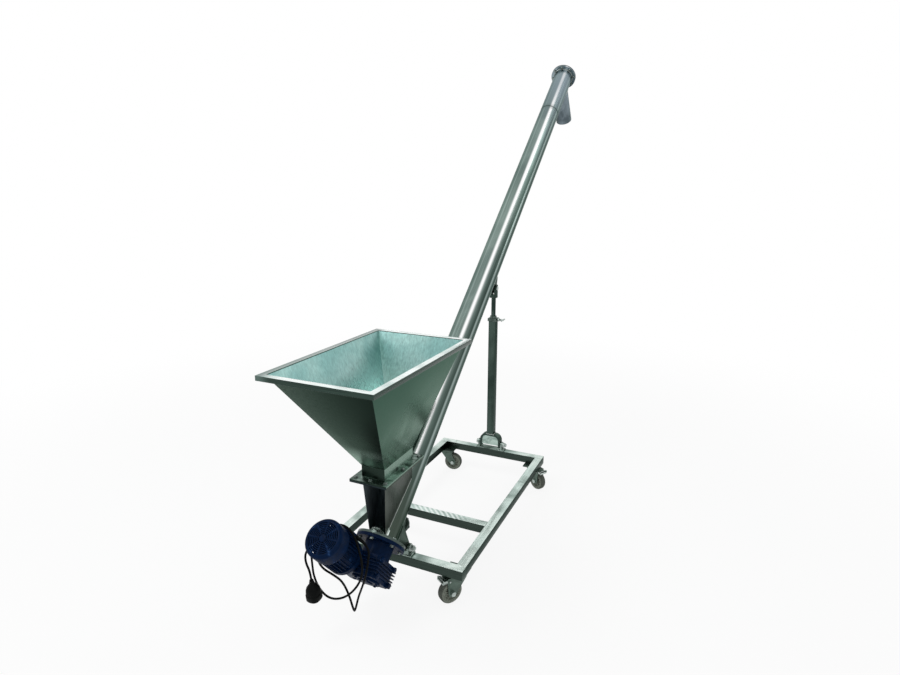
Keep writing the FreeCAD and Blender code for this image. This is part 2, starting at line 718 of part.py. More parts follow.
def flange_spots():
    # bolt places on the inlet flange: corners, long sides and short sides
    side = d.inlet_half + d.inlet_flange_side / 2
    front, back = -d.inlet_flange_end / 2, d.inlet_length + d.inlet_flange_end / 2
    middle = d.inlet_length / 2
    return [(x, y) for x in (-side, side) for y in (front, middle, back)] + \
           [(Size(0, "0"), front), (Size(0, "0"), back)]


def build_inlet():
    half, wall, length = d.inlet_half, d.inlet_wall, d.inlet_length
    low_half, lean, top = d.inlet_low_half, d.inlet_lean, d.inlet_flange_height
    wide = half + d.inlet_flange_side
    ends = (-d.inlet_flange_end, length + d.inlet_flange_end)
    thick = d.inlet_flange_thick
    hole_span = (top - thick - 1, top + thick + 1)

    # the box narrows from the flange down to the height of the casing's axis
    level = Size(0, "0")
    outer = fuse("box", frustum((low_half, lean, length), (half, level, length), level, top),
                 block((-wide, wide), ends, (top - thick, top)))
    holes = group("holes", *[round_bar(d.bolt_hole, hole_span, x=x, y=y)
                             for x, y in flange_spots()])
    hollow = cut("box", outer, frustum((low_half - wall, lean + wall, length - wall),
                                       (half - wall, wall, length - wall), level, top), holes)
    # keep what stands above the casing's axis and past the end plate
    keep_y, keep_z = d.inlet_front * -1, level
    slab = block((-wide - 1, wide + 1), (-3 * length - top, -8), (d.end_plate_thick, 3 * length + top))
    tools = []
    for thing in (slab, casing_bar()):
        moved = group("tilted", thing)
        place(moved, 0, keep_y, keep_z, X_AXIS, d.incline - 90)
        tools.append(moved)
    box = cut("box", common("box", hollow, tools[0]), tools[1])
    keep(on_inlet(box), "inlet_box")

    neck_top = top + d.neck_height
    holes = group("holes", *[round_bar(d.bolt_hole, hole_span, x=x, y=y)
                             for x, y in flange_spots()])
    neck = fuse("neck", block((-wide, wide), ends, (top, top + thick)),
                block((-half, half), (0, length), (top, neck_top)))
    neck = cut("neck", neck, block((wall - half, half - wall), (wall, length - wall),
                                   (top - 1, neck_top + 1)), holes)
    keep(on_inlet(neck), "hopper_neck")

    low, high = neck_top, top + d.hopper_height - d.hopper_wall
    top_half, front, back = d.hopper_half, -d.hopper_front, length + d.hopper_back
    wall = d.hopper_wall
    shell = cut("shell", frustum((half, Size(0, "0"), length), (top_half, front, back), low, high),
                frustum((half - wall, wall, length - wall),
                        (top_half - wall, front + wall, back - wall), low, high))
    keep(on_inlet(shell), "hopper_shell")

    edge, deep, lip = d.rim_wide, d.rim_deep, d.hopper_wall
    crest = high + lip
    outer = block((-top_half - edge, top_half + edge), (front - edge, back + edge),
                  (crest - deep, crest))
    under = block((lip - top_half - edge, top_half + edge - lip),
                  (front - edge + lip, back + edge - lip), (crest - deep - 1, crest - lip))
    mouth = block((wall - top_half, top_half - wall), (front + wall, back - wall),
                  (crest - deep - 1, crest + 1))
    keep(on_inlet(cut("rim", outer, under, mouth)), "hopper_rim")


def screw_bolt(x, y, head, grip, along="z", centre=0, sign=1, nut=True):
    # hexagon bolt through a joint: the head's face at head, the far face grip away
    far = head + sign * grip
    spans = {"head": sorted((head, head - sign * d.bolt_head_high), key=float),
             "shank": sorted((head, far + sign * (d.nut_high + 2 if nut else 0)), key=float),
             "nut": sorted((far, far + sign * d.nut_high), key=float)}
    if along == "z":
        pieces = [hexagon(d.bolt_head, spans["head"], x=x, y=y),
                  round_bar(d.bolt_radius, spans["shank"], x=x, y=y)]
        if nut:
            pieces.append(hexagon(d.bolt_head, spans["nut"], x=x, y=y))
    else:
        pieces = [hexagon(d.bolt_head, spans["head"], x=x, z=y + centre, along="y")]
    return fuse("bolt", *pieces) if len(pieces) > 1 else pieces[0]


def build_bolts():
    top, thick = d.casing_length, d.top_flange_thick
    bolts = around(8, d.top_bolt_ring, lambda x, y: screw_bolt(x, y, top, 2 * thick))
    start = d.end_plate_thick
    bolts += around(6, d.end_bolt_ring, lambda x, y: screw_bolt(x, y, start, start + d.gear_flange_thick,
                                                     sign=-1), 30)
    cover = d.port_reach + d.port_flange_thick
    bolts += around(6, d.port_bolt_ring, lambda x, y: screw_bolt(x, y, cover, 0, along="y",
                                                     centre=d.port_station, sign=-1, nut=False))
    placed = [on_conveyor(group("bolt", bolt)) for bolt in bolts]
    head, grip = d.inlet_flange_height + d.inlet_flange_thick, 2 * d.inlet_flange_thick
    for x, y in flange_spots():
        placed.append(on_inlet(group("bolt", screw_bolt(x, y, head, grip, sign=-1))))
    keep(group("bolts", *placed), "flange_bolts")


def gear_body(extra=0.0):
    # rounded housing block about the output shaft, in the conveyor's own frame
    made = block((-d.gear_left - extra, d.gear_right + extra),
                 (-d.gear_front - extra, d.gear_front + extra),
                 (-d.gear_reach - d.gear_half + extra, -d.gear_reach + d.gear_half - extra))
    rounded = doc.addObject("Part::Fillet", "rounded")
    rounded.Base = made
    edges = []
    doc.recompute()
    for index, edge in enumerate(made.Shape.Edges, 1):
        ends = [vertex.Point for vertex in edge.Vertexes]
        if abs(ends[0].z - ends[1].z) > 1:
            edges.append((index, float(d.gear_fillet), float(d.gear_fillet)))
    rounded.Edges = edges
    return rounded


def build_gearbox():
    centre = -d.gear_reach
    base, roof = centre - d.gear_half, centre + d.gear_half
    flange = -d.gear_flange_thick
    wall, front, spot = d.gear_wall, d.gear_front, -d.worm_offset
    disc = d.input_reach - d.motor_flange_thick
    pieces = [gear_body(), round_bar(d.gear_neck_radius, (roof, flange)),
              round_bar(d.end_plate_radius, (flange, 0)),
              round_bar(d.input_radius, (-disc, 2 - front), x=spot, z=centre, along="y"),
              round_bar(d.motor_flange_radius, (-d.input_reach, -disc), x=spot, z=centre,
                        along="y")]
    count = 5
    for i in range(count):
        z = centre + (i - (count - 1) / 2) * d.fin_step
        pieces.append(block((24 - d.gear_left, d.gear_right + d.fin_reach),
                            (-front - d.fin_reach, front + d.fin_reach),
                            (z - d.fin_thick / 2, z + d.fin_thick / 2)))
    for y in (18 - front, front - 18):
        for z in (base + d.lug_radius, roof - d.lug_radius):
            pieces.append(round_bar(d.lug_radius, (d.gear_right - 20, d.gear_right + d.lug_reach),
                                    y=y, z=z, along="x"))
    body = fuse("housing", *pieces)
    holes = around(6, d.end_bolt_ring, lambda x, y: round_bar(d.bolt_hole, (flange - 1, 1), x=x, y=y), 30)
    taps = around(4, d.motor_bolt_ring, lambda x, y: round_bar(d.bolt_hole, (-d.input_reach - 1, -disc + 1),
                                                  x=x + spot, z=y + centre, along="y"), 45)
    body = cut("housing", body, round_bar(d.wheel_blank_radius + 2, (base, roof - wall)),
               round_bar(d.journal_radius + RUNNING, (base, 1)),
               round_bar(d.worm_blank_radius + 2, (-42, 42), x=spot, z=centre, along="y"),
               round_bar(12 + RUNNING, (-d.input_reach - 1, front - wall), x=spot, z=centre,
                         along="y"), group("holes", *holes, *taps))
    keep(on_conveyor(body), "gearbox_housing")

    ring = d.gear_cover_radius - 8
    caps = around(6, ring, lambda x, y: hexagon(6, (base - 12, base - 8), x=x, y=y))
    cover = fuse("cover", round_bar(d.gear_cover_radius, (base - 8, base)),
                 round_bar(30, (base - 12, base - 8)), *caps)
    keep(on_conveyor(cut("cover", cover, round_bar(d.journal_radius + RUNNING, (base - 6, base)))),
         "gearbox_cover")

    wheel = cut("wheel", fuse("wheel", round_bar(d.wheel_blank_radius, (centre - 14, centre + 14)),
                              round_bar(21, (base + 1, roof - wall - 1))),
                round_bar(d.journal_radius + RUNNING, (base, roof + 21)))
    keep(on_conveyor(wheel), "worm_wheel")


def build_worm():
    blank, shaft = d.worm_blank_radius, d.motor_shaft_radius
    front = d.gear_front - d.gear_wall
    worm = fuse("worm", round_bar(blank, (-40, 40)), round_bar(12, (1 - front, d.input_reach - 16)))
    keep(on_motor(worm), "worm_shaft")

    start = d.input_reach
    face = start + d.motor_flange_thick
    body = face + d.motor_spigot
    rear = body + d.motor_length
    rotor = fuse("rotor", round_bar(shaft, (start - 16, rear + 42)),
                 round_bar(d.rotor_radius, (body + 14, rear - 14)))
    keep(on_motor(rotor), "motor_rotor")

    flange = fuse("flange", round_bar(d.motor_flange_radius, (start, face)),
                  round_bar(d.motor_radius, (face, body)))
    holes = around(4, d.motor_bolt_ring,
                   lambda x, y: round_bar(d.bolt_hole, (start - 1, face + 1), x=x, y=y), 45)
    flange = cut("flange", flange, round_bar(shaft + RUNNING, (start - 1, body + 1)),
                 group("holes", *holes))
    keep(on_motor(flange), "motor_flange")


def build_motor():
    start = d.input_reach + d.motor_flange_thick + d.motor_spigot
    body = doc.addObject("PartDesign::Body", "frame")
    ring = profile(body, "XY_Plane", [], [(0, 0, d.motor_radius), (0, 0, d.motor_bore)])
    pad(body, ring, d.motor_length)
    inner, outer = d.motor_radius - 2, d.motor_radius + d.motor_fin
    fin = pad(body, profile(body, "XY_Plane", [(inner, -1.6), (outer, -1.1), (outer, 1.1),
                                               (inner, 1.6)]), d.motor_length)
    ringed(body, fin, 30)
    place(body, Size(0, "0"), Size(0, "0"), start)
    rear = start + d.motor_length
    shield = cut("shield", round_bar(d.motor_radius - 2, (rear, rear + 8)),
                 round_bar(d.motor_shaft_radius + RUNNING, (rear - 1, rear + 9)))
    keep(on_motor(group("frame", body, shield)), "motor_body")

    outside, wall = d.cowl_radius, d.cowl_wall
    front = rear - 12
    face = front + d.cowl_length
    shape = [(outside - wall, 0), (outside, 0), (outside, d.cowl_length - 10),
             (outside - 10, d.cowl_length), (0, d.cowl_length),
             (0, d.cowl_length - wall), (outside - 10.8, d.cowl_length - wall),
             (outside - wall, d.cowl_length - 10.8)]
    cowl = turned("cowl", shape)
    for near, far, half in ((14, 30, 9), (34, 46, 10), (50, 60, 10)):
        slot = slot_outline(near, far, half)
        sketch = profile(cowl, "XY_Plane", slot)
        made = pocket(cowl, sketch, d.cowl_length + 5, back=True)
        ringed(cowl, made, 12)
    place(cowl, Size(0, "0"), Size(0, "0"), front)
    keep(on_motor(group("cowl", cowl)), "fan_cover")

    hub_low, hub_high = rear + 12, rear + 38
    blades = [round_bar(17, (hub_low, hub_high)), round_bar(26, (hub_low, hub_low + 3))]
    for i in range(8):
        blade = block((15, d.fan_radius), (-1.5, 1.5), (hub_low, hub_high - 2))
        turned_blade = group("blade", blade)
        place(turned_blade, 0, 0, 0, Z_AXIS, 45.0 * i)
        blades.append(turned_blade)
    fan = cut("fan", fuse("fan", *blades), round_bar(d.motor_shaft_radius + RUNNING,
                                                      (hub_low - 1, hub_high + 1)))
    keep(on_motor(fan), "cooling_fan")

    fins = d.motor_radius + d.motor_fin
    top, low = fins + d.box_high, start + d.box_start
    high, half = low + d.box_long, d.box_half
    box = cut("box", block((-half, half), (d.motor_radius, top), (low, high)),
              round_bar(fins + SEAT, (start - 9, rear + 9)))
    keep(on_motor(turned_box(box)), "terminal_box")

    line, middle = gland_line(start)
    gland = fuse("gland", hexagon(d.gland_radius, (half, half + 9), y=line, z=middle, along="x"),
                 round_bar(d.gland_radius - 2, (half + 9, half + d.gland_reach), y=line, z=middle,
                           along="x"))
    keep(on_motor(turned_box(gland)), "cable_gland")


def turned_box(thing):
    return group("held", place(group("turned", thing), 0, 0, 0, Z_AXIS, -d.box_turn))


def gland_line(start):
    # height of the gland over the motor's axis, and its place along the motor
    return d.motor_radius + d.motor_fin + 3, start + d.box_start + d.box_long / 2


# the lead's corners in the motor's frame: across, up the screw's axis, along the motor
LEAD = [(127, -15, 136), (116, -55, 95), (92, -84, 45), (64, -106, -10), (77, -154, -1),
        (95, -161, 45), (68, -119, 75), (42, -89, 111), (11, -81, 135), (-39, -73, 155),
        (-76, -35, 170), (-82, 17, 182), (-54, 64, 196), (0, 84, 207), (53, 68, 207),
        (95, 24, 196), (129, -30, 171), (127, -72, 140), (93, -113, 103), (48, -141, 78),
        (-3, -152, 69), (-50, -136, 80), (-89, -100, 95), (-109, -64, 107), (-108, -38, 143),
        (-105, -27, 184), (-84, -59, 218), (-62, -86, 221), (-48, -102, 201), (-47, -124, 168)]


def lead_corners():
    # from the gland's mouth round the motor to the plug
    start = d.input_reach + d.motor_flange_thick + d.motor_spigot
    line, middle = gland_line(start)
    turn = math.radians(d.box_turn)
    out, up = V(math.cos(turn), -math.sin(turn), 0), V(math.sin(turn), math.cos(turn), 0)
    mouth = up * float(line) + out * float(d.box_half + d.gland_reach) + V(0, 0, float(middle))
    grow = float(d.motor_radius + d.motor_fin) / 70.0
    return [mouth, mouth + out * 52 * grow] + [V(*corner) * grow for corner in LEAD]


def build_lead():
    # straight runs joined by tangent arcs, swept as one round tube
    corners = lead_corners()
    edges, here = [], corners[0]
    for before, corner, after in zip(corners, corners[1:], corners[2:]):
        back, ahead = (before - corner), (after - corner)
        reach = 0.45 * min(back.Length, ahead.Length)
        back.normalize()
        ahead.normalize()
        enter, leave = corner + back * reach, corner + ahead * reach
        half = (math.pi - back.getAngle(ahead)) / 2
        towards = back + ahead
        towards.normalize()
        edges.append(Part.LineSegment(here, enter).toShape())
        edges.append(Part.Arc(enter, corner + towards * drop_of(reach, half), leave).toShape())
        here = leave
    edges.append(Part.LineSegment(here, corners[-1]).toShape())
    path = Part.Wire(edges)
    first = corners[1] - corners[0]
    ring = Part.Wire(Part.makeCircle(float(d.cord_radius), corners[0], first))
    lead = doc.addObject("Part::Feature", "lead")
    lead.Shape = path.makePipeShell([ring], True, False)
    keep(on_motor(lead), "power_cord")

    end = corners[-1] - corners[-2]
    r, long = d.plug_radius, d.plug_long
    plug = turned("plug", [(Size(0, "0"), 0), (9, 0), (11, 14), (r - 7, 30), (r, 60), (r, long),
                           (r - 4, long), (r - 4, long - 27), (Size(0, "0"), long - 27)])
    pins = around(4, 13.0, lambda x, y: round_bar(3, (long - 28, long - 5), x=x, y=y), 45)
    plug = fuse("plug", plug, *pins)
    plug.Placement = App.Placement(corners[-1], App.Rotation(Z_AXIS, end))
    keep(on_motor(group("plug", plug)), "power_plug")


def drop_of(reach, half):
    # how far the middle of a tangent arc lies from its corner
    radius = reach / math.tan(half)
    return radius / math.cos(half) - radius


def slot_outline(near, far, half):
    # a slot of the grille as a tapering quadrilateral between two radii
    a = math.radians(half)
    return [(near * math.cos(a), -near * math.sin(a)), (far * math.cos(a), -far * math.sin(a)),
            (far * math.cos(a), far * math.sin(a)), (near * math.cos(a), near * math.sin(a))]


build_frame()
build_casters()
build_pivots()
build_post()
build_casing()
build_port()
build_saddle()
build_lug()
build_screw()
build_inlet()
build_bolts()
build_gearbox()
build_worm()
build_motor()
build_lead()

doc.recompute()
for thing in doc.Objects:
    if "Invalid" in thing.State or "Error" in thing.State:
        raise RuntimeError("%s (%s) failed: %s" % (thing.Name, thing.Label, thing.State))

os.makedirs("parts", exist_ok=True)
for thing, name in parts:
    if thing.Shape.isNull() or not thing.Shape.isValid() or not thing.Shape.Solids:
        raise RuntimeError("%s has no valid solid" % name)
    thing.Shape.exportStep("parts/%s.step" % name)
print(len(parts), "sub-parts written")
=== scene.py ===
import json
import math
import bmesh
import bpy
import numpy as np
from mathutils import Matrix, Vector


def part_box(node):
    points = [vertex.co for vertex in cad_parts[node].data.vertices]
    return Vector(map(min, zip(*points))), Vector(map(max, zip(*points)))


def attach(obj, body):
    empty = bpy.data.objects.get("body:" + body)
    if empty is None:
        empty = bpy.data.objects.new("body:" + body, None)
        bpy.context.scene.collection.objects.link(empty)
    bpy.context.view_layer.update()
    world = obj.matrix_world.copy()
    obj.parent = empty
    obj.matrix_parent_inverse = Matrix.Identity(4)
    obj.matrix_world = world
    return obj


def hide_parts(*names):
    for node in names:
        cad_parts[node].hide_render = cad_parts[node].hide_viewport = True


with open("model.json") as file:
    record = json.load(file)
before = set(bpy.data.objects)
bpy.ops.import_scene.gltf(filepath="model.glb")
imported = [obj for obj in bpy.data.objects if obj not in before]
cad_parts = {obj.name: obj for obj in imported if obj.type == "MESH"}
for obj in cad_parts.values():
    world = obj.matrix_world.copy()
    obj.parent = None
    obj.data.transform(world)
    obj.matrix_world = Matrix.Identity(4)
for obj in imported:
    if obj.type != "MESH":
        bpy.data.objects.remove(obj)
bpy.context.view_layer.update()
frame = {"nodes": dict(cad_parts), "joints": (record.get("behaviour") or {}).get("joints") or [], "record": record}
nodes = frame["nodes"]
joints = {joint["name"]: joint for joint in frame["joints"]}
record = frame["record"]
# each node's body, which the piece that stands for it keeps
bodyOf = {node: body for body, members in record["behaviour"]["bodies"].items() for node in members}
scene = bpy.context.scene
scene.view_settings.view_transform = "Standard"
print("frame loaded:", len(nodes), "nodes")

millimetre = 0.001
sharpAngle = math.radians(34)
frameMiddleY = -0.452721
middleRailY = frameMiddleY - 0.211
tubeRadius = 60.0            # the conveyor tube's, in millimetres

# the screw's axis: it starts at the end plate, rises 40 degrees and runs towards +Y
incline = math.radians(40)
axisStart = np.array([0.0, -1.117721, 0.275])
axisAlong = np.array([0.0, math.cos(incline), math.sin(incline)])
axisOut = np.array([0.0, -math.sin(incline), math.cos(incline)])
acrossX = np.array([1.0, 0.0, 0.0])
upZ = np.array([0.0, 0.0, 1.0])
# the motor stands on the gearbox, square to the screw and 72 mm to its left
motorStart = axisStart - 0.107 * axisAlong - 0.072 * acrossX


def conveyorPoints(points):
    # millimetres across, out of and along the tube, to metres in the row frame
    return axisStart + np.asarray(points, float) * millimetre @ np.stack([acrossX, axisOut, axisAlong])


def motorPoints(points):
    # millimetres across, along the tube and along the motor, to metres in the row frame
    return motorStart + np.asarray(points, float) * millimetre @ np.stack([acrossX, axisAlong, axisOut])


def unit(vectors):
    return vectors / np.linalg.norm(vectors, axis=-1, keepdims=True)


def newObject(name, data):
    obj = bpy.data.objects.new(name, data)
    scene.collection.objects.link(obj)
    return obj


def standing(name, data, axes, place):
    # a camera or lamp with its own x, y and z along three axes
    obj = newObject(name, data)
    turn = Matrix(np.column_stack(axes).tolist()).to_4x4()
    turn.translation = place
    obj.matrix_world = turn
    return obj


camera = {
    "place": (1.105087, -2.875960, 1.609989),
    "heading": -24.650,      # degrees from +Y towards +X
    "tilt": -13.845,
    "roll": 0.065,
    "focal": 23.561,         # millimetres on a 36 mm wide sensor
}


def makeCamera(spec):
    heading, tilt, roll = (math.radians(spec[key]) for key in ("heading", "tilt", "roll"))
    ahead = np.array([math.sin(heading) * math.cos(tilt), math.cos(heading) * math.cos(tilt), math.sin(tilt)])
    level = np.array([math.cos(heading), -math.sin(heading), 0.0])
    above = np.cross(level, ahead)
    right = math.cos(roll) * level + math.sin(roll) * above
    above = math.cos(roll) * above - math.sin(roll) * level
    data = bpy.data.cameras.new("photoCamera")
    data.lens = spec["focal"]
    data.sensor_width = 36.0
    data.clip_start = 0.05
    data.clip_end = 200.0
    scene.camera = standing("photoCamera", data, [right, above, -ahead], spec["place"])


makeCamera(camera)
print("camera placed")

light = {
    "sky": 0.50,             # strength of the pale world on matt surfaces
    "aim": (0.0, -0.3, 0.9),
    # watts, place and size of each lamp: one size is a disc's, two are a rectangle's
    "lamps": {"key": (78.0, (-1.6, -2.6, 4.6), 2.2),
              "rim": (22.0, (2.6, 2.6, 3.9), (0.8, 4.0)),
              "fill": (16.0, (2.8, -3.6, 2.2), 2.4)},
}
ground = {"colour": "#f8f9f9", "half": 40.0, "whiteNear": 0.88, "fadeFrom": 1.4, "fadeTo": 4.5}


def addLamp(name, watts, place, size, aim):
    data = bpy.data.lights.new(name, "AREA")
    data.energy = watts
    if isinstance(size, tuple):
        data.shape = "RECTANGLE"
        data.size, data.size_y = size
    else:
        data.shape = "DISK"
        data.size = size
    away = unit(np.subtract(place, aim))
    side = unit(np.cross(upZ, away))
    standing(name, data, [side, np.cross(away, side), away], place)


for lamp, (watts, place, size) in light["lamps"].items():
    addLamp(lamp + "Lamp", watts, place, size, light["aim"])


def colour(code):
    # an sRGB hex code as linear red, green, blue and alpha
    parts = [int(code[i:i + 2], 16) / 255 for i in (1, 3, 5)]
    return tuple(c / 12.92 if c <= 0.04045 else ((c + 0.055) / 1.055) ** 2.4 for c in parts) + (1.0,)


smooth = {"interpolation_type": "SMOOTHSTEP"}


def connect(tree, node, inputs):
    # a number or colour is set on the input, and a socket, or a node's first live output, is linked
    for key, value in inputs.items():
        if isinstance(value, bpy.types.Node):
            value = [socket for socket in value.outputs if socket.enabled][0]
        if isinstance(value, bpy.types.NodeSocket):
            tree.links.new(value, node.inputs[key])
        else:
            node.inputs[key].default_value = value


def addNode(tree, kind, inputs=None, **settings):
    # a Mix node's numbers are its inputs 2 and 3, its colours 6 and 7
    node = tree.nodes.new("ShaderNode" + kind)
    for key, value in settings.items():
        setattr(node, key, value)
    connect(tree, node, inputs or {})
    return node


def startMaterial(name, inputs):
    # a material with its shader, and the coordinates for its patterns
    material = bpy.data.materials.new(name)
    material.use_nodes = True
    tree = material.node_tree
    tree.nodes.clear()
    shader = addNode(tree, "BsdfPrincipled", inputs)
    addNode(tree, "OutputMaterial", {"Surface": shader})
    return material, tree, shader, addNode(tree, "TexCoord")


def directRays(tree):
    # 1 for rays that meet the camera straight, or by metal or glass, and 0 for those that only light
    path = addNode(tree, "LightPath")
    seen = path.outputs["Is Camera Ray"]
    for kind in ("Is Glossy Ray", "Is Transmission Ray"):
        seen = addNode(tree, "Math", {0: seen, 1: path.outputs[kind]}, operation="MAXIMUM")
    return seen


def makeWorld(spec):
    world = bpy.data.worlds.new("paleRoom")
    world.use_nodes = True
    tree = world.node_tree
    tree.nodes.clear()
    strength = addNode(tree, "MapRange", {"Value": directRays(tree), "To Min": spec["sky"], "To Max": 1.0})
    back = addNode(tree, "Background", {"Color": colour("#ffffff"), "Strength": strength})
    addNode(tree, "OutputWorld", {"Surface": back})
    scene.world = world


def makeFloor(spec):
    # a pale matt floor: seen white, with the object's shadow kept by the matt share, which fades
    # away from the object so that no horizon shows
    half = spec["half"]
    mesh = bpy.data.meshes.new("floor")
    corners = [(-half, -half, 0), (half, -half, 0), (half, half, 0), (-half, half, 0)]
    mesh.from_pydata(corners, [], [(0, 1, 2, 3)])
    obj = newObject("floor", mesh)
    material, tree, shader, place = startMaterial("palePaper", {
        "Base Color": colour(spec["colour"]), "Roughness": 0.9, "Specular IOR Level": 0.1})
    away = addNode(tree, "VectorMath", {0: place.outputs["Object"], 1: (0.0, frameMiddleY, 0.0)},
                   operation="DISTANCE")
    fade = addNode(tree, "MapRange", {
        "Value": away, "From Min": spec["fadeFrom"], "From Max": spec["fadeTo"],
        "To Min": spec["whiteNear"], "To Max": 1.0}, **smooth)
    share = addNode(tree, "Math", {0: directRays(tree), 1: fade}, operation="MULTIPLY")
    glow = addNode(tree, "Emission", {"Color": colour("#ffffff"), "Strength": 1.0})
    mixed = addNode(tree, "MixShader", {0: share, 1: shader, 2: glow})
    output = [node for node in tree.nodes if node.type == "OUTPUT_MATERIAL"][0]
    connect(tree, output, {"Surface": mixed})
    mesh.materials.append(material)


makeWorld(light)
makeFloor(ground)
print("lamps, world and floor placed")


def settle(obj, body, replaced):
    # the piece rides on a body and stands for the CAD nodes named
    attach(obj, body)
    if replaced:
        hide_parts(*replaced)


def meshPiece(name, points, faces, materials, body, slotName, replaced=(), second=None):
    # faces: a list of arrays of corner numbers; second: which faces take the second material
    mesh = bpy.data.meshes.new(name)
    mesh.from_pydata(points.tolist(), [], [face for group in faces for face in group.tolist()])
    mesh.update()
    mesh.shade_smooth()
    mesh.set_sharp_from_angle(angle=sharpAngle)
    for material in materials:
        mesh.materials.append(material)
    if second is not None:
        mesh.polygons.foreach_set("material_index", second.astype(np.int32))
    obj = newObject(name, mesh)
    settle(obj, body, replaced)
    return obj


def thicken(obj, wall):
    # a sheet gets its thickness inwards from the surface drawn
    sheet = obj.modifiers.new("sheet", "SOLIDIFY")
    sheet.thickness = wall * millimetre
    sheet.offset = -1.0


def gridFaces(rows, columns, closedRows=False, closedColumns=False):
    # quads between neighbouring rows and columns of a grid of points, row by row
    row, column = np.indices((rows - 1 + closedRows, columns - 1 + closedColumns)).reshape(2, -1)
    nextRow, nextColumn = (row + 1) % rows * columns, (column + 1) % columns
    row = row * columns
    return np.column_stack([row + column, row + nextColumn, nextRow + nextColumn, nextRow + column])


def tubeFaces(rows, columns, closed):
    # rings of quads, with a flat cap at each end unless the rings close on themselves
    ring = np.arange(columns)[None]
    caps = [] if closed else [ring[:, ::-1], ring + (rows - 1) * columns]
    return [gridFaces(rows, columns, closed, True)] + caps


def ringAngles(columns):
    return 2 * math.pi * np.arange(columns) / columns


def turnedSurface(radii, heights, columns, closed=False):
    # radius and height of each row, one value or one for each column, turned about the local z axis:
    # x = r cos a, y = r sin a
    angles = ringAngles(columns)
    points = np.stack(np.broadcast_arrays(radii * np.cos(angles), radii * np.sin(angles), heights), -1)
    return points.reshape(-1, 3), tubeFaces(len(points), columns, closed)


def roundProfile(pairs, columns, closed=False):
    pairs = np.asarray(pairs, float)
    return turnedSurface(pairs[:, :1], pairs[:, 1:], columns, closed)


def joined(*surfaces):
    # several surfaces as one: the corner numbers move up by the points before them
    starts = np.cumsum([0] + [len(points) for points, faces in surfaces])
    return (np.concatenate([points for points, faces in surfaces]),
            [group + start for (points, faces), start in zip(surfaces, starts) for group in faces])


def placedAt(surface, origin, axis, side):
    # local z on the axis and local x on the side, millimetres to metres
    axis, side = np.asarray(axis, float), np.asarray(side, float)
    basis = np.stack([side, np.cross(axis, side), axis])
    return np.asarray(origin, float) + surface[0] * millimetre @ basis, surface[1]


def lengthsAlong(path):
    return np.concatenate([[0.0], np.cumsum(np.linalg.norm(np.diff(path, axis=0), axis=1))])


def pointsAt(path, lengths):
    # the points of a path at those lengths from its start
    along = lengthsAlong(path)
    return np.stack([np.interp(lengths, along, path[:, axis]) for axis in range(3)], 1)


def carriedCircle(path, radii, columns, closed=False):
    # a circle carried along a path and square to it, with one radius for each point of the path; its
    # two axes are the path's direction crossed with a slanted vector, and with the first axis
    ahead = unit((np.roll(path, -1, 0) - np.roll(path, 1, 0)) if closed else np.gradient(path, axis=0))
    side = unit(np.cross(ahead, (0.31, 0.27, 0.91)))
    other = np.cross(ahead, side)
    angles = ringAngles(columns)[None, :, None]
    circle = np.cos(angles) * side[:, None] + np.sin(angles) * other[:, None]
    points = path[:, None] + radii[:, None, None] * circle
    return points.reshape(-1, 3), tubeFaces(len(path), columns, closed)


# turns that lay the ground lines along each direction
alongX, alongY, alongZ = (0.0, 0.0, 0.0), (0.0, 0.0, math.pi / 2), (0.0, -math.pi / 2, 0.0)
alongTube, alongSpout = (0.0, -incline, math.pi / 2), (0.0, math.pi / 2 - incline, math.pi / 2)
# the sides that painted shading may be put on, and what a band may be measured by: a direction's share of
# the place on the piece, or of the way that its surface faces
sides = {"front": (0, -1, 0), "back": (0, 1, 0), "right": (1, 0, 0), "left": (-1, 0, 0), "down": (0, 0, -1),
         "underTube": tuple(-axisOut)}
measures = {"alongTube": ("Object", tuple(axisAlong)), "height": ("Object", (0, 0, 1)),
            "across": ("Object", (1, 0, 0)), "right": ("Normal", (1, 0, 0)), "left": ("Normal", (-1, 0, 0))}
noiseLow, noiseHigh = 0.3, 0.7     # most of a noise lies between these
diagonalWave = 0.628               # metres between the bands of a diagonal wave at scale 1
# a ground spot: core is the share of its size that is fully bright, and where the swirls of noise are
# under tornFrom only the least share is left
grinding = {"core": 0.35, "swirlMm": 55.0, "tornFrom": 0.28, "tornTo": 0.60, "least": 0.25, "rough": 0.22}
# what a sheet or tube has unless its own values say otherwise. lineMm, lineLong: the ground lines'
# width, in millimetres, and length, in metres; edge: the tint at grazing angles; streak: the lines'
# least and most brightness; mottle: the part of the noise that moves from light to dull;
# paintedShadingBySide: painted light and shade for each side that a surface faces; turn, turns: where that
# painted tone starts and is full, as the surface turns to its side; middle: only faces turned away from it
# take the painted tone, with a blend that wide in metres; tintAndPaintedLightBands: a measure, its middle,
# the width, the most share and the tone
plainSheet = {"rough": (0.26, 0.44), "lineMm": 4.0, "lineLong": 0.22, "grain": alongX, "edge": "#c8cecb",
              "streak": (0.76, 1.22), "mottle": (0.35, 0.68), "bump": 0.12, "deepMm": 0.6, "ground": (),
              "ripple": None, "paintedShadingBySide": {}, "turn": (0.35, 0.75), "turns": {}, "middle": None, "blend": 0.002,
              "tintAndPaintedLightBands": ()}


def scaleOf(size):
    # a pattern's scale from the size of its features in millimetres
    return 1 / (size * millimetre)


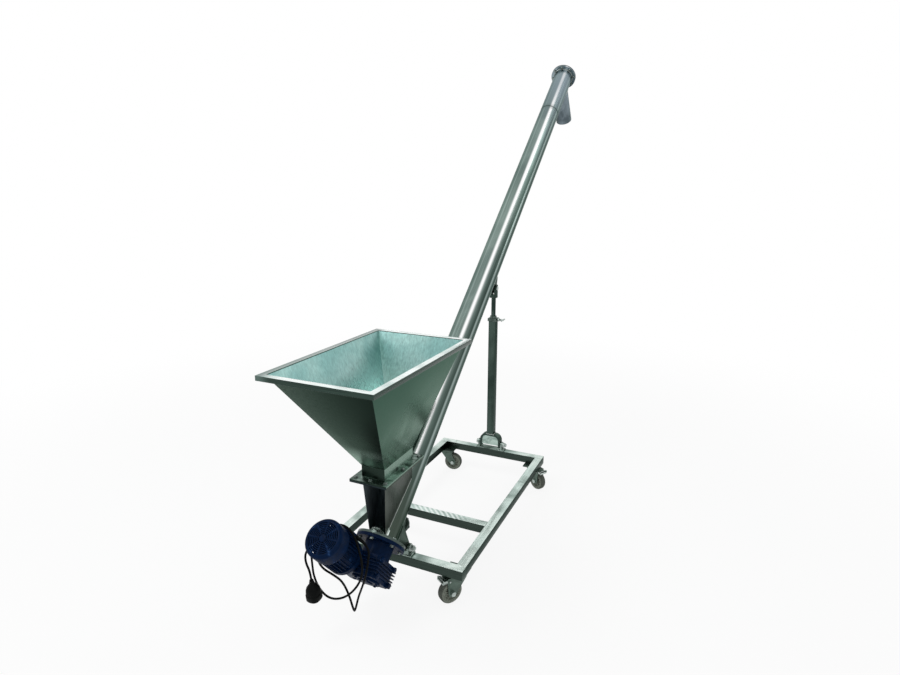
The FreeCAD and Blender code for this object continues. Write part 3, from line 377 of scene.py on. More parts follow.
def groundSpots(tree, here, tone, rough, spots):
    # places ground bright with a disc: strongest at the mirrored corners about the middle, torn at
    # the edges, and smoother than the sheet round them
    for row in spots:
        spot = {**grinding, **row}
        shifted = addNode(tree, "VectorMath", {0: here, 1: spot["middle"]}, operation="SUBTRACT")
        folded = addNode(tree, "VectorMath", {0: shifted}, operation="ABSOLUTE")
        away = addNode(tree, "VectorMath", {0: folded, 1: spot["corner"]}, operation="DISTANCE")
        near = addNode(tree, "MapRange", {
            "Value": away, "From Min": spot["size"], "From Max": spot["size"] * spot["core"]}, **smooth)
        swirl = addNode(tree, "TexNoise", {
            "Vector": here, "Scale": scaleOf(spot["swirlMm"]), "Detail": 2.0, "Distortion": 1.2})
        torn = addNode(tree, "MapRange", {
            "Value": swirl, "From Min": spot["tornFrom"], "From Max": spot["tornTo"],
            "To Min": spot["least"]})
        share = addNode(tree, "Math", {0: near, 1: torn}, operation="MULTIPLY")
        tone = addNode(tree, "Mix", {0: share, 6: tone, 7: colour(spot["colour"])}, data_type="RGBA")
        rough = addNode(tree, "Mix", {0: share, 2: rough, 3: spot["rough"]})
    return tone, rough


def rippleMarks(tree, here, tone, spec):
    # the marks of a coarse grinding disc: short bright bands across the rail
    away = addNode(tree, "VectorMath", {0: here, 1: spec["middle"]}, operation="DISTANCE")
    near = addNode(tree, "MapRange", {
        "Value": away, "From Min": spec["half"], "From Max": spec["half"] * spec["core"],
        "To Max": spec["share"]}, **smooth)
    wave = addNode(tree, "TexWave", {
        "Vector": here, "Scale": diagonalWave / spec["pitch"], "Distortion": 0.8, "Detail": 1.0},
        bands_direction="DIAGONAL")
    share = addNode(tree, "Math", {0: near, 1: wave.outputs["Fac"]}, operation="MULTIPLY")
    return addNode(tree, "Mix", {0: share, 6: tone, 7: colour(spec["colour"])}, data_type="RGBA")


def paintShadingBySide(tree, place, tone, spec):
    # painted light and shade for each side: none where the surface turns away from the side, all where it faces it
    here, normal = place.outputs["Object"], place.outputs["Normal"]
    for side, code in spec["paintedShadingBySide"].items():
        low, high = spec["turns"].get(side, spec["turn"])
        facing = addNode(tree, "VectorMath", {0: normal, 1: sides[side]}, operation="DOT_PRODUCT")
        share = addNode(tree, "MapRange", {"Value": facing, "From Min": low, "From Max": high}, **smooth)
        if spec["middle"]:
            # the inside of the same wall looks towards the middle of the box and keeps its tone
            offset = addNode(tree, "VectorMath", {0: here, 1: spec["middle"]}, operation="SUBTRACT")
            outward = addNode(tree, "VectorMath", {0: offset, 1: normal}, operation="DOT_PRODUCT")
            outside = addNode(tree, "MapRange", {
                "Value": outward, "From Min": -spec["blend"], "From Max": spec["blend"]})
            share = addNode(tree, "Math", {0: share, 1: outside}, operation="MULTIPLY")
        tone = addNode(tree, "Mix", {0: share, 6: tone, 7: colour(code)}, data_type="RGBA")
    return tone


def tintAndPaintedLightBands(tree, place, tone, rows):
    # another tone where a measure is near a value, fading over the width: rings of tint round a tube by the
    # place along it, and painted highlight stripes along it by the way it faces
    for measure, at, wide, most, code in rows:
        output, direction = measures[measure]
        along = addNode(tree, "VectorMath", {0: place.outputs[output], 1: direction}, operation="DOT_PRODUCT")
        off = addNode(tree, "Math", {0: along, 1: at}, operation="SUBTRACT")
        off = addNode(tree, "Math", {0: off}, operation="ABSOLUTE")
        share = addNode(tree, "MapRange", {
            "Value": off, "From Min": wide, "From Max": 0.0, "To Max": most}, **smooth)
        tone = addNode(tree, "Mix", {0: share, 6: tone, 7: colour(code)}, data_type="RGBA")
    return tone


def brushedSteel(name, values):
    # stainless steel sheet and tube, ground with a belt: fine lines along the grain, grey-green and
    # cloudy where it was handled, painted light and shade on the walls by the side they face, brighter
    # places where welds were ground flush, and bands of tone and of painted highlights
    spec = {**plainSheet, **values}
    material, tree, shader, place = startMaterial(name, {
        "Metallic": 1.0, "Specular Tint": colour(spec["edge"])})
    here = place.outputs["Object"]
    fine = spec["lineMm"] * millimetre
    turned = addNode(tree, "Mapping", {
        "Vector": here, "Rotation": spec["grain"], "Scale": (spec["lineLong"], fine, fine)},
        vector_type="TEXTURE")
    lines = addNode(tree, "TexNoise", {"Vector": turned, "Scale": 1.0, "Detail": 5.0, "Roughness": 0.65})
    cloud = addNode(tree, "TexNoise", {
        "Vector": here, "Scale": scaleOf(spec["cloudMm"]), "Detail": 2.0, "Roughness": 0.5,
        "Distortion": 0.6})
    low, high = spec["mottle"]
    mottle = addNode(tree, "MapRange", {"Value": cloud, "From Min": low, "From Max": high}, **smooth)
    tone = addNode(tree, "Mix", {0: mottle, 6: colour(spec["light"]), 7: colour(spec["dull"])},
                   data_type="RGBA")
    rough, streak = (addNode(tree, "MapRange", {
        "Value": lines, "From Min": noiseLow, "From Max": noiseHigh, "To Min": low, "To Max": high})
        for low, high in (spec["rough"], spec["streak"]))
    tone, rough = groundSpots(tree, here, tone, rough, spec["ground"])
    if spec["ripple"]:
        tone = rippleMarks(tree, here, tone, spec["ripple"])
    tone = paintShadingBySide(tree, place, tone, spec)
    tone = addNode(tree, "VectorMath", {0: tone, "Scale": streak}, operation="SCALE")
    tone = tintAndPaintedLightBands(tree, place, tone, spec["tintAndPaintedLightBands"])
    bump = addNode(tree, "Bump", {
        "Height": lines, "Strength": spec["bump"], "Distance": spec["deepMm"] * millimetre})
    connect(tree, shader, {"Base Color": tone, "Roughness": rough, "Normal": bump})
    return material


# the rails: ground bright at the corner welds and at the middle rail's ends
railFinish = {
    "rough": (0.24, 0.42), "lineMm": 5.0, "cloudMm": 130.0,
    "ground": [{"middle": (0.0, frameMiddleY, 0.0), "corner": (0.290, 0.545, 0.17), "size": 0.19,
                "colour": "#e3efe9"},
               {"middle": (0.0, middleRailY, 0.0), "corner": (0.285, 0.0, 0.17), "size": 0.15,
                "colour": "#dbe8e2"}]}
# painted shade on the rails' sides and undersides, darkest on the front and right
railSteelX = brushedSteel("beltGroundTubeAcross", {
    **railFinish, "light": "#bdd0c9", "dull": "#7b8c85",
    "ripple": {"middle": (0.03, middleRailY, 0.17), "half": 0.17, "core": 0.5, "pitch": 0.027,
               "share": 0.95, "colour": "#f2faf7"},
    "paintedShadingBySide": {"front": "#38433e", "back": "#4a554f", "right": "#38433e", "left": "#4a554f",
              "down": "#333c38"}})
railSteelY = brushedSteel("beltGroundTubeAlong", {
    **railFinish, "light": "#d9e9e3", "dull": "#93a49d", "grain": alongY,
    "paintedShadingBySide": {"right": "#303a36", "left": "#4a554f", "down": "#333c38"}})
# the tube is polished almost to a mirror: its long stripes of the room are painted reflections, and painted shade
# darkens its right side and underside
tubeStart = float(np.dot(axisStart, axisAlong))
tubeSteel = brushedSteel("polishedConveyorTube", {
    "light": "#84958f", "dull": "#6b7c77", "rough": (0.16, 0.30), "cloudMm": 320.0, "grain": alongTube,
    "bump": 0.03, "edge": "#b4bdb9",
    "paintedShadingBySide": {"right": "#33413c", "underTube": "#3a4742"},
    "turns": {"right": (0.50, 0.92), "underTube": (0.1, 0.7)},
    # darker towards the low end and paler towards the top; painted highlights along the right, a soft one
    # with a sharper one in it, and fainter painted highlights beside it and on the left; the tones of both
    # ends, and the heat tint and dark line of the joint below the discharge
    "tintAndPaintedLightBands": (("alongTube", tubeStart + 0.3, 1.2, 0.55, "#4c5b55"),
              ("alongTube", tubeStart + 3.4, 1.3, 0.5, "#8e9ba3"),
              ("right", 0.44, 0.22, 1.0, "#ffffff"), ("right", 0.44, 0.15, 1.0, "#ffffff"),
              ("right", 0.95, 0.06, 0.6, "#b4c4c0"), ("left", 0.28, 0.12, 0.35, "#b4c5c0"),
              ("left", 0.80, 0.10, 0.4, "#a9bbb6"),
              ("alongTube", tubeStart + 0.06, 0.36, 0.96, "#414b43"),
              ("alongTube", tubeStart + 3.12, 0.42, 0.5, "#929faa"),
              ("alongTube", tubeStart + 2.842, 0.034, 0.45, "#5a6765"),
              ("alongTube", tubeStart + 2.842, 0.006, 0.85, "#1f2725"))})
# the post was ground once and is darker all round, with painted shade on its right; the plates are cut sheet with
# a grinder's haze, with painted shade on their right sides and undersides
postSteel = brushedSteel("beltGroundTubeUpright", {
    "light": "#46564f", "dull": "#2e3c37", "rough": (0.24, 0.4), "cloudMm": 180.0, "grain": alongZ,
    "paintedShadingBySide": {"right": "#2b3833", "left": "#44534d"}})
plateSteel = brushedSteel("groundPlate", {
    "light": "#8f9f98", "dull": "#4b5852", "cloudMm": 60.0, "paintedShadingBySide": {"right": "#49564f", "down": "#333c38"}})
# the bow is darker than the web in it, with painted shade on its right, front and under faces
bowSteel = brushedSteel("pressedBow", {
    "light": "#5b6c64", "dull": "#34423c", "cloudMm": 60.0,
    "paintedShadingBySide": {"right": "#35423c", "front": "#3a4943", "down": "#2c3833"},
    "turns": {"right": (0.5, 0.9), "front": (0.5, 0.9)}})
# fresh from the disc: the plate inside the bow, and the weld at the foot of the inlet, whose near-white tone is
# partly a painted highlight
webSteel = brushedSteel("groundWeb", {"light": "#b9cec5", "dull": "#83978f", "cloudMm": 40.0})
footSteel = brushedSteel("groundWeldFoot", {
    "light": "#eef6f2", "dull": "#a9bcb3", "rough": (0.2, 0.36), "cloudMm": 22.0, "edge": "#ffffff"})
# the spout has the blue-grey of rolled tube, with painted shade on its left
spoutSteel = brushedSteel("spoutTube", {
    "light": "#77838a", "dull": "#545f65", "rough": (0.22, 0.36), "cloudMm": 90.0, "grain": alongSpout,
    "paintedShadingBySide": {"left": "#4a5254"}, "turns": {"left": (0.1, 0.8)}})
# the hopper's inside is pale and its outside darker, which is painted shade, darkest on the front; a paler band
# round its bottom is painted light that lifts the shade low inside, and the bright spot at its foot is ground
# metal with a painted highlight
hopperSteel = brushedSteel("hopperSheet", {
    "light": "#93b6b2", "dull": "#7fa7a4", "rough": (0.28, 0.44), "lineMm": 6.0, "cloudMm": 170.0,
    "grain": alongZ, "edge": "#dff0e6", "tintAndPaintedLightBands": (("height", 0.63, 0.10, 0.65, "#a3b8ae"),),
    "ground": [{"middle": (0.0, -1.0477, 0.0), "corner": (0.0, 0.0, 0.68), "size": 0.40, "swirlMm": 240.0,
                "colour": "#e2f4f1"}],
    "middle": (0.0, -1.0450, 0.75),
    "paintedShadingBySide": {"right": "#324f43", "left": "#466156", "back": "#42594e", "front": "#0e1814"}})
# inlet and neck are darker, with painted shade on their fronts and painted light and shade on their other sides;
# the folded rim is brightest, its near-white top partly a painted highlight over ground metal, with painted shade
# on its walls and on its left part
inletSteel = brushedSteel("inletSheet", {
    "light": "#6f7d75", "dull": "#515e57", "rough": (0.24, 0.4), "lineMm": 5.0, "cloudMm": 90.0,
    "grain": alongZ, "edge": "#ffffff",
    "paintedShadingBySide": {"front": "#2b3538", "right": "#39433a", "left": "#46524b", "back": "#46524b"}})
neckSteel = brushedSteel("neckSheet", {
    "light": "#9fb1a9", "dull": "#4f5d56", "rough": (0.2, 0.36), "lineMm": 5.0, "cloudMm": 45.0,
    "paintedShadingBySide": {"front": "#27332d", "right": "#7d9287"}})
rimSteel = brushedSteel("foldedRim", {
    "light": "#f6fdfb", "dull": "#cbdcd8", "rough": (0.2, 0.34), "cloudMm": 120.0, "edge": "#ffffff",
    "tintAndPaintedLightBands": (("across", -0.216, 0.055, 0.85, "#5f736d"),),
    "paintedShadingBySide": {"front": "#35443e", "right": "#3d4b45", "left": "#51605a", "down": "#2f3a36"}})


def cloudedSkin(name, inputs, spec):
    # one cloud of noise, at the size of the surface's own grain, moves between two close tones and two
    # roughnesses, and its height breaks up the shine
    material, tree, shader, place = startMaterial(name, inputs)
    low, high = spec["noise"]
    cloud = addNode(tree, "TexNoise", {
        "Vector": place.outputs["Object"], "Scale": scaleOf(spec["cloudMm"]), "Detail": spec["detail"],
        "Roughness": spec["grit"]})
    tone = addNode(tree, "Mix", {0: cloud, 6: colour(spec["light"]), 7: colour(spec["dull"])},
                   data_type="RGBA")
    rough = addNode(tree, "MapRange", {
        "Value": cloud, "From Min": low, "From Max": high, "To Min": spec["rough"][0],
        "To Max": spec["rough"][1]})
    bump = addNode(tree, "Bump", {
        "Height": cloud, "Strength": spec["bump"], "Distance": spec["deepMm"] * millimetre})
    connect(tree, shader, {"Base Color": tone, "Roughness": rough, "Normal": bump})
    return material


def turnedSteel(name, values):
    # plain or zinc-plated steel, turned or pressed: close cloudy tone, small bright scuffs
    return cloudedSkin(name, {"Metallic": 1.0}, {
        "detail": 6.0, "grit": 0.6, "noise": (noiseLow, noiseHigh), "bump": 0.1, "deepMm": 0.5, **values})


# bright zinc on pins and pedals, duller on bolts and forks; oil darkens the covers and the rotor
zincSteel = turnedSteel("zincPlatedSteel", {
    "light": "#ccd6d2", "dull": "#75817c", "rough": (0.22, 0.45), "cloudMm": 14.0})
boltSteel = turnedSteel("zincPlatedBolts", {
    "light": "#96a19d", "dull": "#4f5955", "rough": (0.3, 0.5), "cloudMm": 10.0})
forkSteel = turnedSteel("zincPressedFork", {
    "light": "#687a70", "dull": "#3a4540", "rough": (0.28, 0.5), "cloudMm": 25.0})
darkSteel = turnedSteel("oiledDarkSteel", {
    "light": "#4c5355", "dull": "#2a2f31", "rough": (0.3, 0.5), "cloudMm": 18.0})
discSteel = turnedSteel("turnedDisc", {
    "light": "#5d6964", "dull": "#343d3a", "rough": (0.2, 0.4), "cloudMm": 30.0})
shaftSteel = turnedSteel("brightShaft", {
    "light": "#b4b9bb", "dull": "#8b9294", "rough": (0.16, 0.3), "cloudMm": 40.0})
weldSteel = turnedSteel("weldBead", {
    "light": "#b7bfbb", "dull": "#5c5f59", "rough": (0.25, 0.5), "cloudMm": 6.0})
# the worm wheel is cast bronze, turned
bronze = turnedSteel("castBronze", {
    "light": "#b98d4f", "dull": "#8a6333", "rough": (0.25, 0.45), "cloudMm": 10.0})

enamel = {"deep": "#030a16", "light": "#0a264c", "scuff": "#31507d", "grainMm": 3.0, "cloudMm": 28.0,
          "coat": 0.015, "coatRough": 0.12, "shine": 0.03, "rough": (0.3, 0.55), "bump": 0.25, "deepMm": 0.5,
          "wornFrom": 0.64, "wornTo": 0.72, "worn": 0.7}


def paintedCasting(spec):
    # blue machine enamel sprayed on cast aluminium: glossy skin over a sand-cast grain,
    # rubbed paler where hands and tools reach
    material, tree, shader, place = startMaterial("blueMachineEnamel", {
        "IOR": 1.5, "Specular IOR Level": spec["shine"], "Coat Weight": spec["coat"],
        "Coat Roughness": spec["coatRough"]})
    here = place.outputs["Object"]
    grain = addNode(tree, "TexNoise", {"Vector": here, "Scale": scaleOf(spec["grainMm"]), "Detail": 4.0})
    cloud = addNode(tree, "TexNoise", {"Vector": here, "Scale": scaleOf(spec["cloudMm"]), "Detail": 5.0})
    tone = addNode(tree, "Mix", {0: cloud, 6: colour(spec["deep"]), 7: colour(spec["light"])},
                   data_type="RGBA")
    worn = addNode(tree, "MapRange", {
        "Value": cloud, "From Min": spec["wornFrom"], "From Max": spec["wornTo"], "To Max": spec["worn"]})
    dusty = addNode(tree, "Mix", {0: worn, 6: tone, 7: colour(spec["scuff"])}, data_type="RGBA")
    rough = addNode(tree, "MapRange", {
        "Value": cloud, "To Min": spec["rough"][0], "To Max": spec["rough"][1]})
    bump = addNode(tree, "Bump", {
        "Height": grain, "Strength": spec["bump"], "Distance": spec["deepMm"] * millimetre})
    connect(tree, shader, {"Base Color": dusty, "Roughness": rough, "Normal": bump})
    return material


blueEnamel = paintedCasting(enamel)


def mouldedSkin(name, values):
    # moulded plastic or rubber: even colour, and a satin skin with the mould's fine spark-eroded grain
    spec = {"ior": 1.49, "detail": 3.0, "grit": 0.5, "noise": (0.0, 1.0), "bump": 0.2, "deepMm": 0.4,
            **values}
    return cloudedSkin(name, {"IOR": spec["ior"], "Specular IOR Level": spec["shine"]}, spec)


# nylon plug and gland, polypropylene wheel cores and grey rubber treads, dusty from the floor
blackPlastic = mouldedSkin("blackNylon", {
    "light": "#060707", "dull": "#101212", "rough": (0.4, 0.6), "cloudMm": 2.5, "shine": 0.05})
wheelPlastic = mouldedSkin("greyWheelCore", {
    "light": "#868c80", "dull": "#636a60", "rough": (0.4, 0.6), "cloudMm": 9.0, "shine": 0.3})
treadRubber = mouldedSkin("greyTreadRubber", {
    "light": "#474d47", "dull": "#5f635b", "rough": (0.55, 0.8), "cloudMm": 7.0, "shine": 0.2})
# black rubber sheath, extruded: matt, with a faint even grain and a dull shine
rubberSheath = mouldedSkin("blackRubberSheath", {
    "light": "#050606", "dull": "#0e1010", "rough": (0.45, 0.68), "cloudMm": 6.0, "shine": 0.06,
    "ior": 1.5, "bump": 0.15})
print("finishes made")


# widths of the rounded edges, in millimetres
edges = {"rail": 3.0, "plate": 0.9, "sheet": 0.8, "casting": 2.2, "forging": 1.2}
rounding = {"mergeMm": 0.02, "flatDegrees": 0.6, "sharpDegrees": 38}


def roundedCopy(nodeName, name, kind, material, steps=3):
    # the node's own solid with its doubles merged, its flat faces joined and its edges rounded; it
    # keeps the node's body
    built = bmesh.new()
    built.from_mesh(nodes[nodeName].data)
    bmesh.ops.remove_doubles(built, verts=built.verts, dist=rounding["mergeMm"] * millimetre)
    bmesh.ops.dissolve_limit(built, angle_limit=math.radians(rounding["flatDegrees"]), verts=built.verts,
                             edges=built.edges)
    mesh = bpy.data.meshes.new(name)
    built.to_mesh(mesh)
    built.free()
    obj = newObject(name, mesh)
    mesh.materials.clear()
    mesh.materials.append(material)
    mesh.shade_smooth()
    bevel = obj.modifiers.new("roundedEdges", "BEVEL")
    bevel.width = edges[kind] * millimetre
    bevel.segments = steps
    bevel.limit_method = "ANGLE"
    bevel.angle_limit = math.radians(rounding["sharpDegrees"])
    bevel.harden_normals = True
    bevel.use_clamp_overlap = True
    bevel.miter_outer = "MITER_ARC"
    settle(obj, bodyOf[nodeName], (nodeName,))
    return obj


def finishNode(name, material):
    # a CAD node keeps its mesh and takes the finish
    if not nodes[name].material_slots:
        nodes[name].data.materials.append(material)
    for materialSlot in nodes[name].material_slots:
        materialSlot.material = material


# node, kind of edge and finish; the piece has the node's two words as its name
pieces = {}
for nodeName, kind, material in (
        ("front_rail", "rail", railSteelX), ("rear_rail", "rail", railSteelX),
        ("middle_rail", "rail", railSteelX), ("left_rail", "rail", railSteelY),
        ("right_rail", "rail", railSteelY), ("caster_plates", "plate", forkSteel),
        ("pivot_brackets", "forging", plateSteel), ("pivot_pins", "plate", zincSteel),
        ("post_bow", "forging", bowSteel), ("post_tube", "rail", postSteel),
        ("post_collar", "forging", plateSteel), ("front_saddle", "forging", plateSteel),
        ("tube_lug", "forging", plateSteel), ("end_plate", "plate", discSteel),
        ("top_cover", "plate", darkSteel), ("discharge_spout", "sheet", spoutSteel),
        ("cleanout_port", "sheet", plateSteel), ("cleanout_cover", "plate", darkSteel),
        ("inlet_box", "sheet", inletSteel), ("hopper_neck", "sheet", neckSteel),
        ("hopper_shell", "sheet", hopperSteel), ("hopper_rim", "sheet", rimSteel),
        ("gearbox_housing", "casting", blueEnamel), ("gearbox_cover", "forging", blueEnamel),
        ("motor_flange", "forging", blueEnamel), ("terminal_box", "casting", blueEnamel),
        ("clamp_screw", "plate", zincSteel)):
    first, last = nodeName.split("_")
    pieces[nodeName] = roundedCopy(nodeName, first + last.capitalize(), kind, material)
for nodeName, material in (
        ("casing_tube", tubeSteel), ("motor_body", blueEnamel), ("post_rod", postSteel),
        ("rod_pin", zincSteel), ("cable_gland", blackPlastic), ("screw_shaft", shaftSteel),
        ("screw_flights", discSteel), ("worm_wheel", bronze), ("worm_shaft", shaftSteel),
        ("motor_rotor", darkSteel), ("cooling_fan", blackPlastic)):
    finishNode(nodeName, material)
for corner in ("front_left", "front_right", "rear_left", "rear_right"):
    roundedCopy("fork_" + corner, "fork_" + corner + "_pressed", "plate", forkSteel, 2)
    finishNode("axle_" + corner, zincSteel)
for corner in ("front_right", "rear_right"):
    roundedCopy("brake_" + corner, "pedal_" + corner, "plate", zincSteel, 2)

plateReach = 0.309           # metres from the middle: the outside of the rails
bowLow, bowHigh = (np.array(corner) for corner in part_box("post_bow"))
postMiddleY = (bowLow[1] + bowHigh[1]) / 2
# the bow's web, in metres: its half width, its top, how far it may be from the bow's middle, and how
# squarely it faces the front or back
web = {"half": 0.050, "top": 0.252, "deep": (bowHigh[1] - bowLow[1]) / 2 - 0.004, "flat": 0.9}


def readArray(items, key):
    # one row of three numbers for each vertex or polygon
    values = np.empty(3 * len(items))
    items.foreach_get(key, values)
    return values.reshape(-1, 3)


def trimPlates(mesh):
    # the caster plates end flush with the outside of the rails
    corners = readArray(mesh.vertices, "co")
    corners[:, 0] = np.clip(corners[:, 0], -plateReach, plateReach)
    mesh.vertices.foreach_set("co", corners.ravel())
    mesh.update()


def brightWeb(mesh, spec):
    # the recessed plate inside the bow is ground bright, the bow round it is not
    mesh.materials.append(webSteel)
    centres, facing = readArray(mesh.polygons, "center"), readArray(mesh.polygons, "normal")
    inside = (np.abs(centres[:, 0]) < spec["half"]) & (centres[:, 2] < spec["top"])
    flat = (np.abs(centres[:, 1] - postMiddleY) < spec["deep"]) & (np.abs(facing[:, 1]) > spec["flat"])
    mesh.polygons.foreach_set("material_index", (inside & flat).astype(np.int32))


trimPlates(pieces["caster_plates"].data)
brightWeb(pieces["post_bow"].data, web)
print("solids finished")

wheel = {
    "columns": 80, "treadFrom": 46.6, "ribs": 5, "ribFrom": 0.72, "ribTo": 0.92, "ribHigh": 13.5,
    "webHigh": 8.0, "webTo": 31.0,
    # radius and height along the axle, round the section from the outside up and back
    "tyre": [(50.0, -6.0), (50.0, 6.0), (49.5, 10.0), (48.0, 13.2), (45.4, 15.3), (42.0, 16.0),
             (37.6, 16.0), (37.1, 15.5), (37.1, -15.5), (37.6, -16.0), (42.0, -16.0), (45.4, -15.3),
             (48.0, -13.2), (49.5, -10.0)],
    "hub": [(37.0, -14.5), (37.0, 14.5), (36.0, 15.6), (32.0, 15.6), (30.4, 8.0), (17.0, 8.0), (15.4, 16.8),
            (14.2, 18.0), (7.0, 18.0), (6.1, 17.2), (6.1, -17.2), (7.0, -18.0), (14.2, -18.0),
            (15.4, -16.8), (17.0, -8.0), (30.4, -8.0), (32.0, -15.6), (36.0, -15.6)],
}


def makeWheel(corner, spec):
    joint = joints["wheel_" + corner]
    place = (joint["pos_m"], joint["axis"], upZ)
    # tyre: its section turned about the axle
    points, faces = roundProfile(spec["tyre"], spec["columns"], True)
    tread = np.linalg.norm(points[faces[0]].mean(1)[:, :2], axis=1) > spec["treadFrom"]
    meshPiece("tyre_" + corner + "_ring", *placedAt((points, faces), *place), (wheelPlastic, treadRubber),
              "wheel_" + corner, "tread", ("tyre_" + corner,), tread)
    # hub: the web between rim and boss rises to a rib where the cosine of five times the angle is near 1
    radius, height = np.array(spec["hub"]).T
    cosine = np.cos(spec["ribs"] * ringAngles(spec["columns"]))
    rib = np.clip((cosine - spec["ribFrom"]) / (spec["ribTo"] - spec["ribFrom"]), 0.0, 1.0)
    inWeb = (np.abs(height) <= spec["webHigh"]) & (radius < spec["webTo"])
    rise = np.where(inWeb, np.sign(height) * (spec["ribHigh"] - spec["webHigh"]), 0.0)
    hub = turnedSurface(radius[:, None], height[:, None] + np.outer(rise, rib), spec["columns"], True)
    meshPiece("hub_" + corner + "_ribbed", *placedAt(hub, *place), (wheelPlastic,), "wheel_" + corner,
              "wheel_core", ("hub_" + corner,))


for corner in ("front_left", "front_right", "rear_left", "rear_right"):
    makeWheel(corner, wheel)

pedal = {
    "from": 57.0, "to": 80.5, "narrow": 19.0, "wide": 24.0, "top": 8.0, "rise": 5.5, "deep": 13.0,
    "sheet": 2.2, "rows": 12,
    # half of the section, as shares of its half width and depth, from the flange's edge to the middle
    "section": [(1.0, 0.0), (1.0, 0.55), (0.97, 0.85), (0.86, 0.98), (0.7, 1.0)],
}


def makePedal(corner, spec):
    # a pressed channel over the toe plate: across it the section runs up one flange, over the top and
    # down the other; along it the channel widens and rises towards the toe
    wheelAt, pivot, swivelAt = (np.array(joints[kind + corner]["pos_m"]) for kind in
                                ("wheel_", "brake_", "swivel_"))
    trail = unit((wheelAt - swivelAt) * (1, 1, 0))
    side = np.array(joints["wheel_" + corner]["axis"])
    along = np.linspace(0.0, 1.0, spec["rows"])[:, None]
    right = np.array(spec["section"])
    section = np.concatenate([right * (-1, 1), [(0.0, 1.0)], right[::-1]])
    x = spec["from"] + (spec["to"] - spec["from"]) * along
    y = (spec["narrow"] + (spec["wide"] - spec["narrow"]) * along) * section[:, 0]
    z = spec["top"] + spec["rise"] * along - spec["deep"] * (1 - section[:, 1])
    local = np.stack(np.broadcast_arrays(x, y, z), -1)
    points = np.array([*swivelAt[:2], pivot[2]]) + millimetre * local @ np.stack([trail, side, upZ])
    turn = 1 if np.dot(np.cross(side, trail), upZ) < 0 else -1
    toePlate = meshPiece("toePlate_" + corner, points.reshape(-1, 3), [gridFaces(*y.shape)[:, ::turn]],
                         (zincSteel,), "brake_" + corner, "zinc_steel")
    thicken(toePlate, spec["sheet"])


for corner in ("front_right", "rear_right"):
    makePedal(corner, pedal)
print("wheels made")

bolt = {
    "corner": 7.5, "head": 5.3, "nut": 6.1, "chamfer": 1.1, "washer": 8.6, "washerThick": 1.4, "thread": 4.0,
    "threadOut": 6.5, "columns": 24,
    # the washer's rounded edge, how far the hexagon sinks into it, the hexagon's cone over its chamfer,
    # and the height and depth of the thread's pointed end
    "ease": 0.3, "sunk": 0.1, "cone": 1.6, "pointHigh": 0.7, "pointIn": 0.8,
    # top flange, then end plate and gearbox flange: count, ring radius, first angle, and the places
    # along the tube of heads and nuts
    "flanges": [(8, 71.0, 0.0, 3262.0, 3278.0), (6, 82.5, 30.0, 10.0, -12.0)],
    # clean-out cover, under the tube, and motor flange: count, ring radius and place of the heads
    "cleanout": {"count": 6, "radius": 31.5, "out": -116.0, "along": 113.0},
    "motor": {"count": 4, "radius": 59.0, "first": 45.0, "along": 87.0},
    # hopper flange, in metres: the plane of its bottom row, its top and underside, and the rows' places
    "hopper": {"front": -1.15772, "top": 0.566, "under": 0.554,
               "spots": [(-65, -20), (-65, 110), (-65, 240), (65, -20), (65, 110), (65, 240), (0, -20),
                         (0, 240)]},
}


def hexagonRows(spec, low, high):
    # a hexagon's radius at each angle, its flat's distance over the cosine of the angle from the flat's
    # middle, cut back by a cone at its outer end
    corner, columns = spec["corner"], spec["columns"]
    edge = corner * math.cos(math.pi / 6) / np.cos(np.mod(ringAngles(columns), math.pi / 3) - math.pi / 6)
    radii = np.stack([edge, edge, np.minimum(edge, corner - spec["cone"] * spec["chamfer"])])
    return turnedSurface(radii, np.array([[low], [high - spec["chamfer"]], [high]]), columns)


def boltEnd(spec, high, thread):
    # washer, hexagon and, on the nut's side, the rounded end of the thread
    thick, washer, ease = spec["washerThick"], spec["washer"], spec["ease"]
    low = thick - spec["sunk"]
    parts = [roundProfile([(washer, 0.0), (washer, thick - ease), (washer - ease, thick)], spec["columns"]),
             hexagonRows(spec, low, low + high)]
    if thread:
        radius, top = spec["thread"], spec["threadOut"] + thick
        parts.append(roundProfile([(radius, high), (radius, top - spec["pointHigh"]),
                                   (radius - spec["pointIn"], top)], spec["columns"]))
    return joined(*parts)


def ringSpots(count, radius, first=0.0):
    angles = np.radians(first) + ringAngles(count)
    return np.column_stack([radius * np.cos(angles), radius * np.sin(angles)])


def makeBolts(spec):
    head, nut = boltEnd(spec, spec["head"], False), boltEnd(spec, spec["nut"], True)
    placed = []
    for count, radius, first, headAt, nutAt in spec["flanges"]:
        out = axisAlong * np.sign(headAt - nutAt)
        for x, y in ringSpots(count, radius, first):
            placed += [placedAt(head, conveyorPoints([x, y, headAt]), out, acrossX),
                       placedAt(nut, conveyorPoints([x, y, nutAt]), -out, acrossX)]
    cover = spec["cleanout"]
    for x, y in ringSpots(cover["count"], cover["radius"]):
        spot = conveyorPoints([x, cover["out"], cover["along"] + y])
        placed.append(placedAt(head, spot, -axisOut, acrossX))
    hopper = spec["hopper"]
    for x, y in hopper["spots"]:
        spot = np.array([x * millimetre, hopper["front"] + y * millimetre, 0.0])
        placed += [placedAt(head, spot + hopper["top"] * upZ, upZ, acrossX),
                   placedAt(nut, spot + hopper["under"] * upZ, -upZ, acrossX)]
    meshPiece("flangeBolts", *joined(*placed), (boltSteel,), "conveyor", "bare_steel", ("flange_bolts",))
    motor = spec["motor"]
    placed = [placedAt(head, motorPoints([x, y, motor["along"]]), axisOut, acrossX)
              for x, y in ringSpots(motor["count"], motor["radius"], motor["first"])]
    meshPiece("motorBolts", *joined(*placed), (boltSteel,), "conveyor", "bare_steel")


makeBolts(bolt)
print("bolts made")

